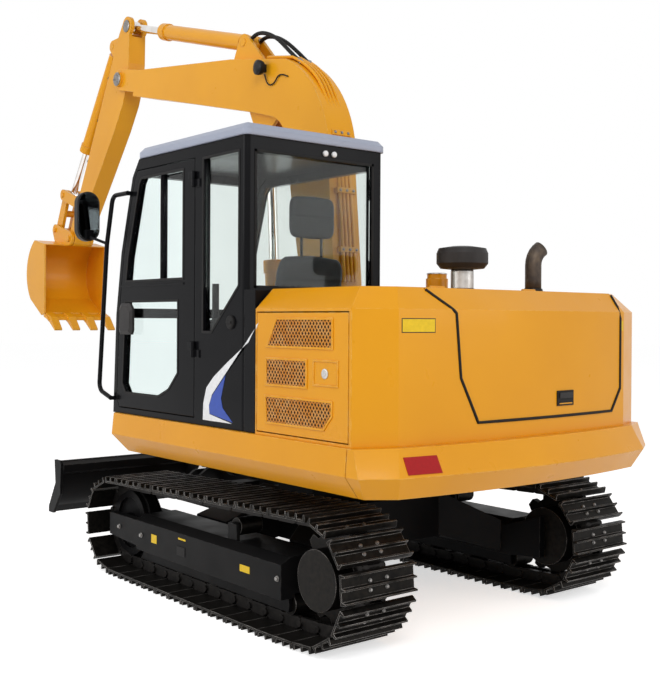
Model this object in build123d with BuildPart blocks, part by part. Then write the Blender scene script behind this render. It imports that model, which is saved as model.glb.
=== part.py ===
from build123d import *
import os
from math import acos, atan2, cos, degrees, hypot, pi, radians, sin

# Crawler excavator of the 8 tonne class, with a dozer blade, a closed cab and a digging front.
# Frame: +X forward, towards the blade and the bucket; +Y to the operator's left; +Z up.
# The origin lies on the ground, on the slewing axis. Lengths are millimetres.

os.makedirs("parts", exist_ok=True)

# Tracks
TRACK_GAUGE = 1670
SHOE_WIDTH = 450
CHAIN_PITCH = 147.5
SPROCKET_TEETH = 11
GROUSER_HEIGHT = 25
GROUSER_BASE = 17
GROUSER_TIP = 8
SHOE_PLATE = 11
SHOE_NOTCH = 7
LINK_HEIGHT = 62
LINK_WIDTH = 28
LINK_SPREAD = 92
SPROCKET_X = -945
SPROCKET_RISE = 12
IDLER_X = 1080
IDLER_PITCH_RADIUS = 236
LAST_ROLLER_X = -640
FIRST_ROLLER_X = 800
ROLLER_COUNT = 5
ROLLER_RADIUS = 58
ROLLER_LENGTH = 150
AXLE_RADIUS = 22
SPROCKET_WIDTH = 44
TOOTH_HEIGHT = 24
RUNNING_GAP = 4
SEAT_GAP = 0.3

# Track frames and car body
FRAME_HALF_WIDTH = 165
FRAME_REAR_X = -690
FRAME_FRONT_X = 1150
FRAME_BOTTOM_Z = 196
FRAME_SHOULDER_Z = 372
FRAME_TOP_Z = 405
FRAME_SLOPE = 60
BODY_HALF_LENGTH = 420
BODY_HALF_WIDTH = 400
BODY_BOTTOM_Z = 300
BODY_TOP_Z = 690
LEG_THICKNESS = 130
BEARING_RADIUS = 455
BEARING_BORE = 350
BEARING_HEIGHT = 95

# Blade
BLADE_HALF_WIDTH = 1050
BLADE_PIVOT = (560, 395)
BLADE_BOTTOM_Z = 262
BLADE_TOP_Z = 625
BLADE_BACK_X = 1790
BLADE_LIP_X = 1965
BLADE_PLATE = 18
BLADE_ARM_Y = 300
BLADE_ARM_WIDTH = 90
BLADE_CYLINDER_FOOT = (470, 610)
BLADE_CYLINDER_EYE = (1690, 535)
BLADE_BARREL_LENGTH = 800

# Upper structure
DECK_HALF_WIDTH = 1080
DECK_FRONT_X = 1020
SKIRT_BEVEL_Z = 888
SKIRT_TOP_Z = 1017
SKIRT_UNDERCUT = 75
SKIRT_LEDGE = 9
NOSE_UNDERCUT = 75
BAY_LEFT_Y = 90
BAY_RIGHT_Y = -270
BAY_REAR_X = -60
BAY_FLOOR_Z = 832
SEAM_X = -1281
SEAM = 6
TAIL_MID_X = -1570
TAIL_SIDE_X = -1375
TAIL_CORNER_X = -1472
TAIL_CORNER_Y = 919
TAIL_UNDERCUT = 80
TAIL_LEDGE = 80
HOOD_STEP = 24
HOOD_STEP_REAR = 135
HOOD_BEND_Z = 1648
HOOD_TOP_Z = 1752
HOOD_BEVEL = 105
HOOD_FRONT_X = -540
PANEL = 26
DOOR_BOTTOM_Z = 1034
DOOR_TOP_Z = 1632
REAR_DOOR_LEFT_Y = 635
REAR_DOOR_RIGHT_Y = -810
REAR_DOOR_BOTTOM_Z = 1105
REAR_DOOR_BEND_Z = 1322
REAR_DOOR_HINGE_X = -1120
GROOVE = 12
PRECLEANER = (-950, -7)
EXHAUST = (-950, -590)
EXHAUST_RADIUS = 50
FILLER = (-625, -137)

# Cab
CAB_LEFT_Y = 1045
CAB_RIGHT_Y = 108
CAB_REAR_X = -430
CAB_BACK_X = -520
CAB_BACK_TOP_Z = 1748
CAB_TOP_Z = 2548
CAB_WALL = 48
ROOF_TOP_Z = 2612
ROOF_BEVEL = 30
DOOR_REAR_X = 70
DOOR_GAP = 6
DOOR_HINGE = (64, 1058)
DOOR_HINGE_PIN = 7
DOOR_HINGE_BARREL = 12
DOOR_HINGE_HEIGHTS = (1430, 2365)
HOOD_HINGE_PIN = 5
HOOD_HINGE_BARREL = 9
HOOD_HINGE_SPACING = 350
GLASS = 6

# Front linkage, seen from the side as (x, z), on one middle plane
FRONT_Y = -90
BOOM_WIDTH = 220
ARM_WIDTH = 150
SIDE_GAP = 6
PIN_RADIUS = 28
ROD_FIT = 1
BARREL_NECK = 32
BOOM_FOOT = (230, 1230)
BOOM_TIP = (2950, 3570)
BOOM_CYLINDER_FOOT = (830, 940)
BOOM_CYLINDER_EYE = (960, 2880)
ARM_CYLINDER_FOOT = (1190, 3530)
ARM_CYLINDER_EYE = (2895, 4005)
BUCKET_CYLINDER_FOOT = (3190, 3900)
ROCKER_PIN = (4060, 2720)
ROCKER_FOOT = (3772, 2622)
BUCKET_PIVOT = (3920, 2315)
BUCKET_LINK_PIN = (4210, 2410)
ROCKER_PLATE = 22
ROCKER_END_RADIUS = 48
ROCKER_PIN_RADIUS = 24
LINK_PLATE = 28
LINK_PIN_RADIUS = 22
LINK_PIN_CLEARANCE = 12
BUCKET_WIDTH = 600
BUCKET_PLATE = 16

# Sizes that follow from the driving ones
PITCH_RADIUS = CHAIN_PITCH / (2 * sin(pi / SPROCKET_TEETH))
SHOE_FACE = LINK_HEIGHT / 2 + SHOE_PLATE
SPROCKET_Z = PITCH_RADIUS + SHOE_FACE + GROUSER_HEIGHT + SPROCKET_RISE
IDLER_Z = IDLER_PITCH_RADIUS + SHOE_FACE + GROUSER_HEIGHT
PITCH_LINE_Z = SHOE_FACE + GROUSER_HEIGHT
DECK_FLOOR_Z = BODY_TOP_Z + BEARING_HEIGHT


# Drawing helpers
def outline(points, mode=Mode.ADD):
    """A closed straight-sided face in the sketch being made."""
    with BuildLine() as edge_line:
        Polyline(*points, close=True)
    make_face(edge_line.edges(), mode=mode)


def side_plane(y):
    """The vertical plane at y, drawn in x and z; a positive extrusion runs to the right."""
    return Plane(origin=(0, y, 0), x_dir=(1, 0, 0), z_dir=(0, -1, 0))


def side_slab(points, y_low, y_high, mode=Mode.ADD):
    """An (x, z) outline between two values of y."""
    with BuildSketch(side_plane(y_high)) as profile:
        outline(points)
    extrude(profile.sketch, amount=y_high - y_low, mode=mode)


def side_round(centre, radius, y_low, y_high, mode=Mode.ADD):
    """A round bar or hole along y at an (x, z) centre."""
    with BuildSketch(side_plane(y_high)) as profile:
        with Locations(centre):
            Circle(radius)
    extrude(profile.sketch, amount=y_high - y_low, mode=mode)


def block(x, y, z, mode=Mode.ADD):
    """A box between pairs of x, y and z."""
    with BuildSketch(Plane.XY.offset(z[0])) as profile:
        with Locations(((x[0] + x[1]) / 2, (y[0] + y[1]) / 2)):
            Rectangle(x[1] - x[0], y[1] - y[0])
    extrude(profile.sketch, amount=z[1] - z[0], mode=mode)


def hull_slab(circles, y_low, y_high, mode=Mode.ADD):
    """A plate round a row of (centre, radius) bosses, its edges tangent to them."""
    with BuildSketch(side_plane(y_high)) as profile:
        for centre, radius in circles:
            with Locations(centre):
                Circle(radius)
        make_hull()
    extrude(profile.sketch, amount=y_high - y_low, mode=mode)


def save(piece, name):
    """Label a finished piece and write it out."""
    piece.part.label = name
    export_step(piece.part, f"parts/{name}.step")


def along(start, end, distance):
    """The (x, z) point at a distance from start towards end."""
    share = distance / hypot(end[0] - start[0], end[1] - start[1])
    return (start[0] + share * (end[0] - start[0]), start[1] + share * (end[1] - start[1]))


def shaft_plane(start, end, y):
    """The plane at an (x, z) start whose normal points at end."""
    return Plane(origin=(start[0], y, start[1]), x_dir=(0, 1, 0), z_dir=(end[0] - start[0], 0, end[1] - start[1]))


# The endless track runs round the sprocket, the last roller and the idler
def loop_pieces(inset):
    """The loop at an inset from the pitch line, as (centre, radius, first angle, last angle)."""
    gap = (SPROCKET_X - IDLER_X, SPROCKET_Z - IDLER_Z)
    slope = acos((IDLER_PITCH_RADIUS - PITCH_RADIUS) / hypot(*gap))
    upper = atan2(gap[1], gap[0]) - slope
    drop = (LAST_ROLLER_X - SPROCKET_X, PITCH_LINE_Z - SPROCKET_Z)
    lower = atan2(drop[1], drop[0]) - acos(PITCH_RADIUS / hypot(*drop))
    idler = ((IDLER_X, IDLER_Z), IDLER_PITCH_RADIUS - inset, -pi / 2, upper)
    sprocket = ((SPROCKET_X, SPROCKET_Z), PITCH_RADIUS - inset, upper, 2 * pi + lower)
    return idler, sprocket


def on_circle(centre, radius, angle):
    """The (x, z) point of a circle at an angle."""
    return (centre[0] + radius * cos(angle), centre[1] + radius * sin(angle))


def loop_point(run, height):
    """The point at a run along the pitch line and a height outside it."""
    idler, sprocket = loop_pieces(0)
    corner = (LAST_ROLLER_X, PITCH_LINE_Z)
    pieces = []
    for centre, radius, first, last in (idler, sprocket):
        pieces.append((centre, radius, first, last))
    start = corner
    for centre, radius, first, last in pieces:
        entry = on_circle(centre, radius, first)
        length = hypot(entry[0] - start[0], entry[1] - start[1])
        if run <= length:
            share = run / length
            x = start[0] + share * (entry[0] - start[0])
            z = start[1] + share * (entry[1] - start[1])
            return (x + height * cos(first), z + height * sin(first))
        run = run - length
        if run <= radius * (last - first):
            angle = first + run / radius
            return on_circle(centre, radius + height, angle)
        run = run - radius * (last - first)
        start = on_circle(centre, radius, last)
        end_angle = last
    length = hypot(corner[0] - start[0], corner[1] - start[1])
    share = run / length
    x = start[0] + share * (corner[0] - start[0])
    z = start[1] + share * (corner[1] - start[1])
    return (x + height * cos(end_angle), z + height * sin(end_angle))


def loop_length():
    """The length of the pitch line."""
    idler, sprocket = loop_pieces(0)
    corner = (LAST_ROLLER_X, PITCH_LINE_Z)
    total = 0
    start = corner
    for centre, radius, first, last in (idler, sprocket):
        entry = on_circle(centre, radius, first)
        total = total + hypot(entry[0] - start[0], entry[1] - start[1]) + radius * (last - first)
        start = on_circle(centre, radius, last)
    return total + hypot(corner[0] - start[0], corner[1] - start[1])


def loop_face(inset, mode=Mode.ADD):
    """The face inside the loop, at an inset from the pitch line."""
    corner = (LAST_ROLLER_X, PITCH_LINE_Z + inset)
    idler, sprocket = loop_pieces(inset)
    with BuildLine() as loop_line:
        start = corner
        for centre, radius, first, last in (idler, sprocket):
            entry = on_circle(centre, radius, first)
            leave = on_circle(centre, radius, last)
            Line(start, entry)
            ThreePointArc(entry, on_circle(centre, radius, (first + last) / 2), leave)
            start = leave
        Line(start, corner)
    make_face(loop_line.edges(), mode=mode)


SHOE_COUNT = round(loop_length() / CHAIN_PITCH)
SHOE_RUN = loop_length() / SHOE_COUNT


def shoe_points(number):
    """The outer outline of one shoe: a notch at its edge and three grousers."""
    start = (number + 0.5) * SHOE_RUN
    face = SHOE_FACE
    tip = SHOE_FACE + GROUSER_HEIGHT
    points = [loop_point(start % loop_length(), face - SHOE_NOTCH)]
    margin = GROUSER_BASE / 2 + 3
    for centre in (margin, SHOE_RUN / 2, SHOE_RUN - margin):
        for half, height in ((-GROUSER_BASE, face), (-GROUSER_TIP, tip), (GROUSER_TIP, tip), (GROUSER_BASE, face)):
            points.append(loop_point((start + centre + half / 2) % loop_length(), height))
    return points


shoe_outline = []
for shoe in range(SHOE_COUNT):
    shoe_outline = shoe_outline + shoe_points(shoe)


def track(middle):
    """One fixed track loop: shoes with three grousers on two rows of chain links."""
    with BuildPart() as piece:
        with BuildSketch(side_plane(middle + SHOE_WIDTH / 2)):
            outline(shoe_outline)
            loop_face(-LINK_HEIGHT / 2, Mode.SUBTRACT)
        extrude(amount=SHOE_WIDTH)
        for side in (-1, 1):
            link = middle + side * LINK_SPREAD / 2
            with BuildSketch(side_plane(link + LINK_WIDTH / 2)):
                loop_face(-LINK_HEIGHT / 2)
                loop_face(LINK_HEIGHT / 2, Mode.SUBTRACT)
            extrude(amount=LINK_WIDTH)
    return piece


track_left = track(TRACK_GAUGE / 2)
save(track_left, "track_left")
track_right = track(-TRACK_GAUGE / 2)
save(track_right, "track_right")


# Undercarriage
def track_middles():
    """The middle of each track in y."""
    return (TRACK_GAUGE / 2, -TRACK_GAUGE / 2)


ROLLER_Z = PITCH_LINE_Z + LINK_HEIGHT / 2 + ROLLER_RADIUS + SEAT_GAP
CARRIER_X = -150
CARRIER_RADIUS = 48
loop_top = loop_point(loop_length() / 2, -LINK_HEIGHT / 2)

with BuildPart() as car_body:
    block((-BODY_HALF_LENGTH, BODY_HALF_LENGTH), (-BODY_HALF_WIDTH, BODY_HALF_WIDTH), (BODY_BOTTOM_Z, 560))
    with BuildSketch(Plane.XY.offset(560)) as crown:
        RegularPolygon(BODY_HALF_WIDTH, 8, major_radius=False, rotation=22.5)
    with BuildSketch(Plane.XY.offset(BODY_TOP_Z - 25)) as table:
        RegularPolygon(BEARING_RADIUS - 60, 8, major_radius=False, rotation=22.5)
    loft([crown.sketch.face(), table.sketch.face()], ruled=True)
    with BuildSketch(Plane.XY.offset(BODY_TOP_Z - 25)) as flange:
        Circle(BEARING_RADIUS)
    extrude(flange.sketch, amount=25)
    # Four legs slope down and outwards to the track frames
    for front in (-1, 1):
        for side in (-1, 1):
            inner_y = side * (BODY_HALF_WIDTH - 60)
            outer_y = side * (TRACK_GAUGE / 2 - FRAME_HALF_WIDTH)
            inner_plane = Plane(origin=(0, inner_y, 0), x_dir=(1, 0, 0), z_dir=(0, -1, 0))
            outer_plane = Plane(origin=(0, outer_y, 0), x_dir=(1, 0, 0), z_dir=(0, -1, 0))
            with BuildSketch(inner_plane) as root:
                with Locations((front * 270, 450)):
                    Rectangle(260, 270)
            with BuildSketch(outer_plane) as toe:
                with Locations((front * 480, 300)):
                    Rectangle(330, 190)
            loft([root.sketch.face(), toe.sketch.face()])
    # Lugs for the blade arms and the blade cylinder
    for side in (-1, 1):
        for cheek in (-1, 1):
            middle = side * BLADE_ARM_Y + cheek * (BLADE_ARM_WIDTH / 2 + SIDE_GAP + 13)
            with BuildSketch(side_plane(middle + 13)) as lug:
                outline([(BODY_HALF_LENGTH - 5, 310), (BODY_HALF_LENGTH - 5, 490),
                         (BLADE_PIVOT[0], 455), (BLADE_PIVOT[0], 335)])
                with Locations(BLADE_PIVOT):
                    Circle(60)
            extrude(lug.sketch, amount=26)
        side_round(BLADE_PIVOT, PIN_RADIUS, side * BLADE_ARM_Y - 60, side * BLADE_ARM_Y + 60)
    for cheek in (-1, 1):
        middle = cheek * (35 + SIDE_GAP + 11)
        with BuildSketch(side_plane(middle + 11)) as lug:
            outline([(BODY_HALF_LENGTH - 90, 500), (BODY_HALF_LENGTH - 90, 600),
                     (BLADE_CYLINDER_FOOT[0], 655), (BLADE_CYLINDER_FOOT[0] + 35, 580),
                     (BODY_HALF_LENGTH, 500)])
            with Locations(BLADE_CYLINDER_FOOT):
                Circle(45)
        extrude(lug.sketch, amount=22)
    side_round(BLADE_CYLINDER_FOOT, 20, -45, 45)
save(car_body, "car_body")

with BuildPart() as track_frames:
    for middle in track_middles():
        with BuildSketch(Plane.YZ.offset(FRAME_REAR_X)) as section:
            outline([(middle - FRAME_HALF_WIDTH, FRAME_BOTTOM_Z), (middle - FRAME_HALF_WIDTH, FRAME_SHOULDER_Z),
                     (middle - FRAME_HALF_WIDTH + FRAME_SLOPE, FRAME_TOP_Z),
                     (middle + FRAME_HALF_WIDTH - FRAME_SLOPE, FRAME_TOP_Z),
                     (middle + FRAME_HALF_WIDTH, FRAME_SHOULDER_Z), (middle + FRAME_HALF_WIDTH, FRAME_BOTTOM_Z)])
        extrude(section.sketch, amount=FIRST_ROLLER_X - FRAME_REAR_X)
        # Front fork round the idler
        for side in (-1, 1):
            low = middle + side * 112
            high = middle + side * FRAME_HALF_WIDTH
            side_slab([(FIRST_ROLLER_X - 5, FRAME_BOTTOM_Z + 20), (FIRST_ROLLER_X - 5, FRAME_SHOULDER_Z),
                       (FRAME_FRONT_X, FRAME_SHOULDER_Z), (FRAME_FRONT_X, FRAME_BOTTOM_Z + 40)],
                      min(low, high), max(low, high))
        # Channel that holds the roller axles
        for side in (-1, 1):
            low = middle + side * (ROLLER_LENGTH / 2 + RUNNING_GAP)
            high = middle + side * (ROLLER_LENGTH / 2 + RUNNING_GAP + 22)
            side_slab([(FRAME_REAR_X + 20, ROLLER_Z - 35), (FRAME_REAR_X + 20, FRAME_BOTTOM_Z + 5),
                       (FIRST_ROLLER_X, FRAME_BOTTOM_Z + 5), (FIRST_ROLLER_X + 60, ROLLER_Z - 35)],
                      min(low, high), max(low, high))
        # Hollow for the rollers
        block((FRAME_REAR_X - 5, FIRST_ROLLER_X + 90),
              (middle - ROLLER_LENGTH / 2 - RUNNING_GAP, middle + ROLLER_LENGTH / 2 + RUNNING_GAP),
              (FRAME_BOTTOM_Z - 5, ROLLER_Z + ROLLER_RADIUS + RUNNING_GAP), Mode.SUBTRACT)
        # Carrier roller post
        side_slab([(CARRIER_X - 45, FRAME_TOP_Z - 5), (CARRIER_X - 40, loop_top[1] - CARRIER_RADIUS + 20),
                   (CARRIER_X + 40, loop_top[1] - CARRIER_RADIUS + 20), (CARRIER_X + 45, FRAME_TOP_Z - 5)],
                  middle + 78, middle + 98)
        # Motor mounting at the rear
        inward = -1 if middle > 0 else 1
        low = middle + inward * (FRAME_HALF_WIDTH - 40)
        high = middle + inward * FRAME_HALF_WIDTH
        side_slab([(FRAME_REAR_X + 5, FRAME_BOTTOM_Z), (FRAME_REAR_X + 5, FRAME_SHOULDER_Z),
                   (SPROCKET_X, SPROCKET_Z + 120), (SPROCKET_X, SPROCKET_Z - 120)],
                  min(low, high), max(low, high))
save(track_frames, "track_frames")

with BuildPart() as sprockets:
    tooth_angle = 360 / SPROCKET_TEETH
    root_radius = PITCH_RADIUS - TOOTH_HEIGHT - LINK_HEIGHT / 2 + 8
    for middle in track_middles():
        inward = -1 if middle > 0 else 1
        with BuildSketch(side_plane(middle + SPROCKET_WIDTH / 2)) as wheel:
            with Locations((SPROCKET_X, SPROCKET_Z)):
                Circle(root_radius)
                with PolarLocations(0, SPROCKET_TEETH, start_angle=8):
                    with Locations((root_radius - 6, 0)):
                        Trapezoid(78, TOOTH_HEIGHT + 20, 70, rotation=-90, align=(Align.CENTER, Align.MIN))
        extrude(wheel.sketch, amount=SPROCKET_WIDTH)
        # Hub and motor case on the inside, cover plate on the outside
        hub_low = middle + inward * SPROCKET_WIDTH / 2
        hub_high = middle + inward * (FRAME_HALF_WIDTH - 40)
        side_round((SPROCKET_X, SPROCKET_Z), 165, min(hub_low, hub_high), max(hub_low, hub_high))
        cover_low = middle - inward * SPROCKET_WIDTH / 2
        cover_high = middle - inward * (FRAME_HALF_WIDTH - 25)
        side_round((SPROCKET_X, SPROCKET_Z), 150, min(cover_low, cover_high), max(cover_low, cover_high))
save(sprockets, "sprockets")

with BuildPart() as idlers:
    rim = IDLER_PITCH_RADIUS - LINK_HEIGHT / 2 - SEAT_GAP
    for middle in track_middles():
        side_round((IDLER_X, IDLER_Z), rim, middle - 62, middle + 62)
        side_round((IDLER_X, IDLER_Z), rim + 16, middle - 28, middle + 28)
        side_round((IDLER_X, IDLER_Z), rim - 45, middle - 80, middle - 40, Mode.SUBTRACT)
        side_round((IDLER_X, IDLER_Z), rim - 45, middle + 40, middle + 80, Mode.SUBTRACT)
        side_round((IDLER_X, IDLER_Z), 62, middle - 112, middle + 112)
save(idlers, "idlers")

with BuildPart() as track_rollers:
    spacing = (FIRST_ROLLER_X - LAST_ROLLER_X) / (ROLLER_COUNT - 1)
    for middle in track_middles():
        for number in range(ROLLER_COUNT):
            centre = (LAST_ROLLER_X + number * spacing, ROLLER_Z)
            side_round(centre, ROLLER_RADIUS, middle - ROLLER_LENGTH / 2, middle + ROLLER_LENGTH / 2)
            side_round(centre, AXLE_RADIUS, middle - ROLLER_LENGTH / 2 - RUNNING_GAP,
                       middle + ROLLER_LENGTH / 2 + RUNNING_GAP)
        carrier = (CARRIER_X, loop_top[1] - CARRIER_RADIUS - SEAT_GAP - 1)
        side_round(carrier, CARRIER_RADIUS, middle - 70, middle + 70)
        side_round(carrier, 16, middle - 70, middle + 78)
save(track_rollers, "track_rollers")

with BuildPart() as swing_bearing:
    with BuildSketch(Plane.XY.offset(BODY_TOP_Z)):
        Circle(BEARING_RADIUS - 25)
        Circle(BEARING_BORE, mode=Mode.SUBTRACT)
    extrude(amount=BEARING_HEIGHT - SEAT_GAP)
save(swing_bearing, "swing_bearing")

# Blade: a curved mouldboard between side plates, on two arms
blade_middle_z = (BLADE_TOP_Z + BLADE_BOTTOM_Z) / 2
with BuildPart() as blade:
    with BuildSketch(side_plane(BLADE_HALF_WIDTH)) as board:
        with BuildLine() as board_line:
            ThreePointArc((BLADE_BACK_X + 55, BLADE_TOP_Z), (BLADE_BACK_X + 22, blade_middle_z + 30),
                          (BLADE_LIP_X - 40, BLADE_BOTTOM_Z + 50))
            Line((BLADE_LIP_X - 40, BLADE_BOTTOM_Z + 50), (BLADE_LIP_X, BLADE_BOTTOM_Z))
            Line((BLADE_LIP_X, BLADE_BOTTOM_Z), (BLADE_LIP_X - 30, BLADE_BOTTOM_Z))
            Line((BLADE_LIP_X - 30, BLADE_BOTTOM_Z), (BLADE_LIP_X - 75, BLADE_BOTTOM_Z + 50))
            ThreePointArc((BLADE_LIP_X - 75, BLADE_BOTTOM_Z + 50), (BLADE_BACK_X, blade_middle_z + 30),
                          (BLADE_BACK_X + 25, BLADE_TOP_Z))
            Line((BLADE_BACK_X + 25, BLADE_TOP_Z), (BLADE_BACK_X + 55, BLADE_TOP_Z))
        make_face(board_line.edges())
    extrude(board.sketch, amount=2 * BLADE_HALF_WIDTH)
    for side in (-1, 1):
        edge = side * (BLADE_HALF_WIDTH - BLADE_PLATE / 2)
        side_slab([(BLADE_BACK_X - 15, BLADE_TOP_Z - 15), (BLADE_BACK_X, BLADE_TOP_Z + 5),
                   (BLADE_BACK_X + 85, BLADE_TOP_Z + 5), (BLADE_BACK_X + 70, blade_middle_z + 30),
                   (BLADE_LIP_X, BLADE_BOTTOM_Z + 40), (BLADE_LIP_X, BLADE_BOTTOM_Z),
                   (BLADE_LIP_X - 70, BLADE_BOTTOM_Z), (BLADE_BACK_X - 5, blade_middle_z - 40)],
                  edge - BLADE_PLATE / 2, edge + BLADE_PLATE / 2)
    # Stiffening beams behind the board
    side_slab([(BLADE_BACK_X + 25, BLADE_TOP_Z - 5), (BLADE_BACK_X - 25, BLADE_TOP_Z - 25),
               (BLADE_BACK_X - 25, BLADE_TOP_Z - 75), (BLADE_BACK_X + 12, BLADE_TOP_Z - 95)],
              -BLADE_HALF_WIDTH + BLADE_PLATE, BLADE_HALF_WIDTH - BLADE_PLATE)
    for side in (-1, 1):
        low = side * BLADE_ARM_Y - BLADE_ARM_WIDTH / 2
        high = side * BLADE_ARM_Y + BLADE_ARM_WIDTH / 2
        with BuildSketch(side_plane(high)) as arm_side:
            outline([(BLADE_PIVOT[0], BLADE_PIVOT[1] + 58), (BLADE_BACK_X + 20, 480),
                     (BLADE_BACK_X + 60, 345), (BLADE_PIVOT[0], BLADE_PIVOT[1] - 58)])
            with Locations(BLADE_PIVOT):
                Circle(58)
                Circle(PIN_RADIUS + SEAT_GAP, mode=Mode.SUBTRACT)
        extrude(arm_side.sketch, amount=high - low)
    block((1300, 1420), (-BLADE_ARM_Y, BLADE_ARM_Y), (365, 435))
    for cheek in (-1, 1):
        middle = cheek * (35 + SIDE_GAP + 11)
        with BuildSketch(side_plane(middle + 11)) as lug:
            outline([(BLADE_BACK_X + 15, BLADE_TOP_Z - 30), (BLADE_CYLINDER_EYE[0], BLADE_CYLINDER_EYE[1] + 40),
                     (BLADE_CYLINDER_EYE[0], BLADE_CYLINDER_EYE[1] - 40), (BLADE_BACK_X + 20, blade_middle_z - 20)])
            with Locations(BLADE_CYLINDER_EYE):
                Circle(42)
        extrude(lug.sketch, amount=22)
save(blade, "blade")


# Hydraulic cylinders
def cylinder_barrel(name, foot, eye, y, radius, rod_radius, length, eye_radius, width, pin_radius):
    """A barrel from its foot eye to its gland, bored for its rod."""
    with BuildPart() as piece:
        plane = shaft_plane(foot, eye, y)
        with BuildSketch(plane.offset(eye_radius * 0.5)) as neck:
            Circle(width * 0.45)
        extrude(neck.sketch, amount=eye_radius * 0.5 + BARREL_NECK + 5)
        with BuildSketch(plane.offset(eye_radius + BARREL_NECK)) as tube:
            Circle(radius)
        extrude(tube.sketch, amount=length - eye_radius - BARREL_NECK)
        with BuildSketch(plane.offset(length - radius * 1.3)) as gland:
            Circle(radius + 9)
        extrude(gland.sketch, amount=radius * 1.3)
        side_round(foot, eye_radius, y - width / 2, y + width / 2)
        side_round(foot, pin_radius + SEAT_GAP, y - radius * 2, y + radius * 2, Mode.SUBTRACT)
        with BuildSketch(plane.offset(eye_radius + BARREL_NECK + 15)) as bore:
            Circle(rod_radius + ROD_FIT)
        extrude(bore.sketch, amount=length, mode=Mode.SUBTRACT)
    save(piece, name)
    return piece


def cylinder_rod(name, foot, eye, y, rod_radius, barrel_length, overlap, eye_radius, width, pin_radius):
    """A rod from inside the barrel to its eye, with an open bore for the pin."""
    reach = hypot(eye[0] - foot[0], eye[1] - foot[1])
    with BuildPart() as piece:
        with BuildSketch(shaft_plane(foot, eye, y).offset(barrel_length - overlap)) as rod:
            Circle(rod_radius)
        extrude(rod.sketch, amount=reach - barrel_length + overlap)
        side_round(eye, eye_radius, y - width / 2, y + width / 2)
        side_round(eye, pin_radius + SEAT_GAP, y - eye_radius * 2, y + eye_radius * 2, Mode.SUBTRACT)
    save(piece, name)
    return piece


blade_barrel = cylinder_barrel("blade_cylinder_barrel", BLADE_CYLINDER_FOOT, BLADE_CYLINDER_EYE, 0,
                               52, 25, BLADE_BARREL_LENGTH, 42, 70, 20)
blade_rod = cylinder_rod("blade_cylinder_rod", BLADE_CYLINDER_FOOT, BLADE_CYLINDER_EYE, 0,
                         25, BLADE_BARREL_LENGTH, 350, 38, 70, 20)


# Upper structure: deck with skirts, a bay for the boom and the lugs that carry it
def deck_face(z, side_inset, nose_inset):
    """The deck's plan at a height, its sides and nose set in."""
    side = DECK_HALF_WIDTH - side_inset
    nose = DECK_FRONT_X - nose_inset
    with BuildSketch(Plane.XY.offset(z)) as plan:
        outline([(SEAM_X, -side), (nose - 45, -side), (nose, -side + 45),
                 (nose, side - 45), (nose - 45, side), (SEAM_X, side)])
    return plan.sketch.face()


with BuildPart() as deck_frame:
    loft([deck_face(DECK_FLOOR_Z, SKIRT_UNDERCUT, NOSE_UNDERCUT), deck_face(SKIRT_BEVEL_Z, 0, 0)], ruled=True)
    loft([deck_face(SKIRT_BEVEL_Z, 0, 0), deck_face(SKIRT_TOP_Z, SKIRT_LEDGE, SKIRT_LEDGE)], ruled=True)
    block((BAY_REAR_X, DECK_FRONT_X + 20), (BAY_RIGHT_Y, BAY_LEFT_Y), (BAY_FLOOR_Z, SKIRT_TOP_Z + 20), Mode.SUBTRACT)
    for cheek in (-1, 1):
        middle = FRONT_Y + cheek * (BOOM_WIDTH / 2 + SIDE_GAP + 14)
        with BuildSketch(side_plane(middle + 14)) as lug:
            outline([(BAY_REAR_X, BAY_FLOOR_Z), (BAY_REAR_X, SKIRT_TOP_Z + 60), (BOOM_FOOT[0] - 85, BOOM_FOOT[1] + 40),
                     (BOOM_FOOT[0] + 85, BOOM_FOOT[1] + 40), (BOOM_FOOT[0] + 330, SKIRT_TOP_Z),
                     (BOOM_FOOT[0] + 480, BAY_FLOOR_Z)])
            with Locations(BOOM_FOOT):
                Circle(94)
        extrude(lug.sketch, amount=28)
    half = BOOM_WIDTH / 2 + SIDE_GAP + 36
    side_round(BOOM_FOOT, PIN_RADIUS, FRONT_Y - half, FRONT_Y + half)
    for cheek in (-1, 1):
        middle = FRONT_Y + cheek * (45 + SIDE_GAP + 12)
        hull_slab([((BOOM_CYLINDER_FOOT[0] - 90, BAY_FLOOR_Z + 5), 10), (BOOM_CYLINDER_FOOT, 55),
                   ((BOOM_CYLINDER_FOOT[0] + 90, BAY_FLOOR_Z + 5), 10)], middle - 12, middle + 12)
    side_round(BOOM_CYLINDER_FOOT, PIN_RADIUS, FRONT_Y - 80, FRONT_Y + 80)
save(deck_frame, "deck_frame")


def tail_face(z, front_x, side_inset, rear_inset):
    """The plan of the tail at a height: straight sides, cut corners and a curved rear."""
    side = DECK_HALF_WIDTH - side_inset
    turn = (TAIL_SIDE_X + rear_inset * 0.6, side)
    corner = (TAIL_CORNER_X + 0.65 * rear_inset, TAIL_CORNER_Y - 0.5 * rear_inset)
    with BuildSketch(Plane.XY.offset(z)) as plan:
        with BuildLine() as edge_line:
            Line((front_x, -side), (front_x, side))
            Line((front_x, side), turn)
            Line(turn, corner)
            ThreePointArc(corner, (TAIL_MID_X + rear_inset, 0), (corner[0], -corner[1]))
            Line((corner[0], -corner[1]), (turn[0], -side))
            Line((turn[0], -side), (front_x, -side))
        make_face(edge_line.edges())
    return plan.sketch.face()


with BuildPart() as counterweight:
    front_x = SEAM_X - SEAM
    loft([tail_face(DECK_FLOOR_Z, front_x, SKIRT_UNDERCUT, TAIL_UNDERCUT),
          tail_face(SKIRT_BEVEL_Z, front_x, 0, 0)], ruled=True)
    loft([tail_face(SKIRT_BEVEL_Z, front_x, 0, 0),
          tail_face(SKIRT_TOP_Z, front_x, SKIRT_LEDGE, TAIL_LEDGE)], ruled=True)
save(counterweight, "counterweight")


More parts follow.
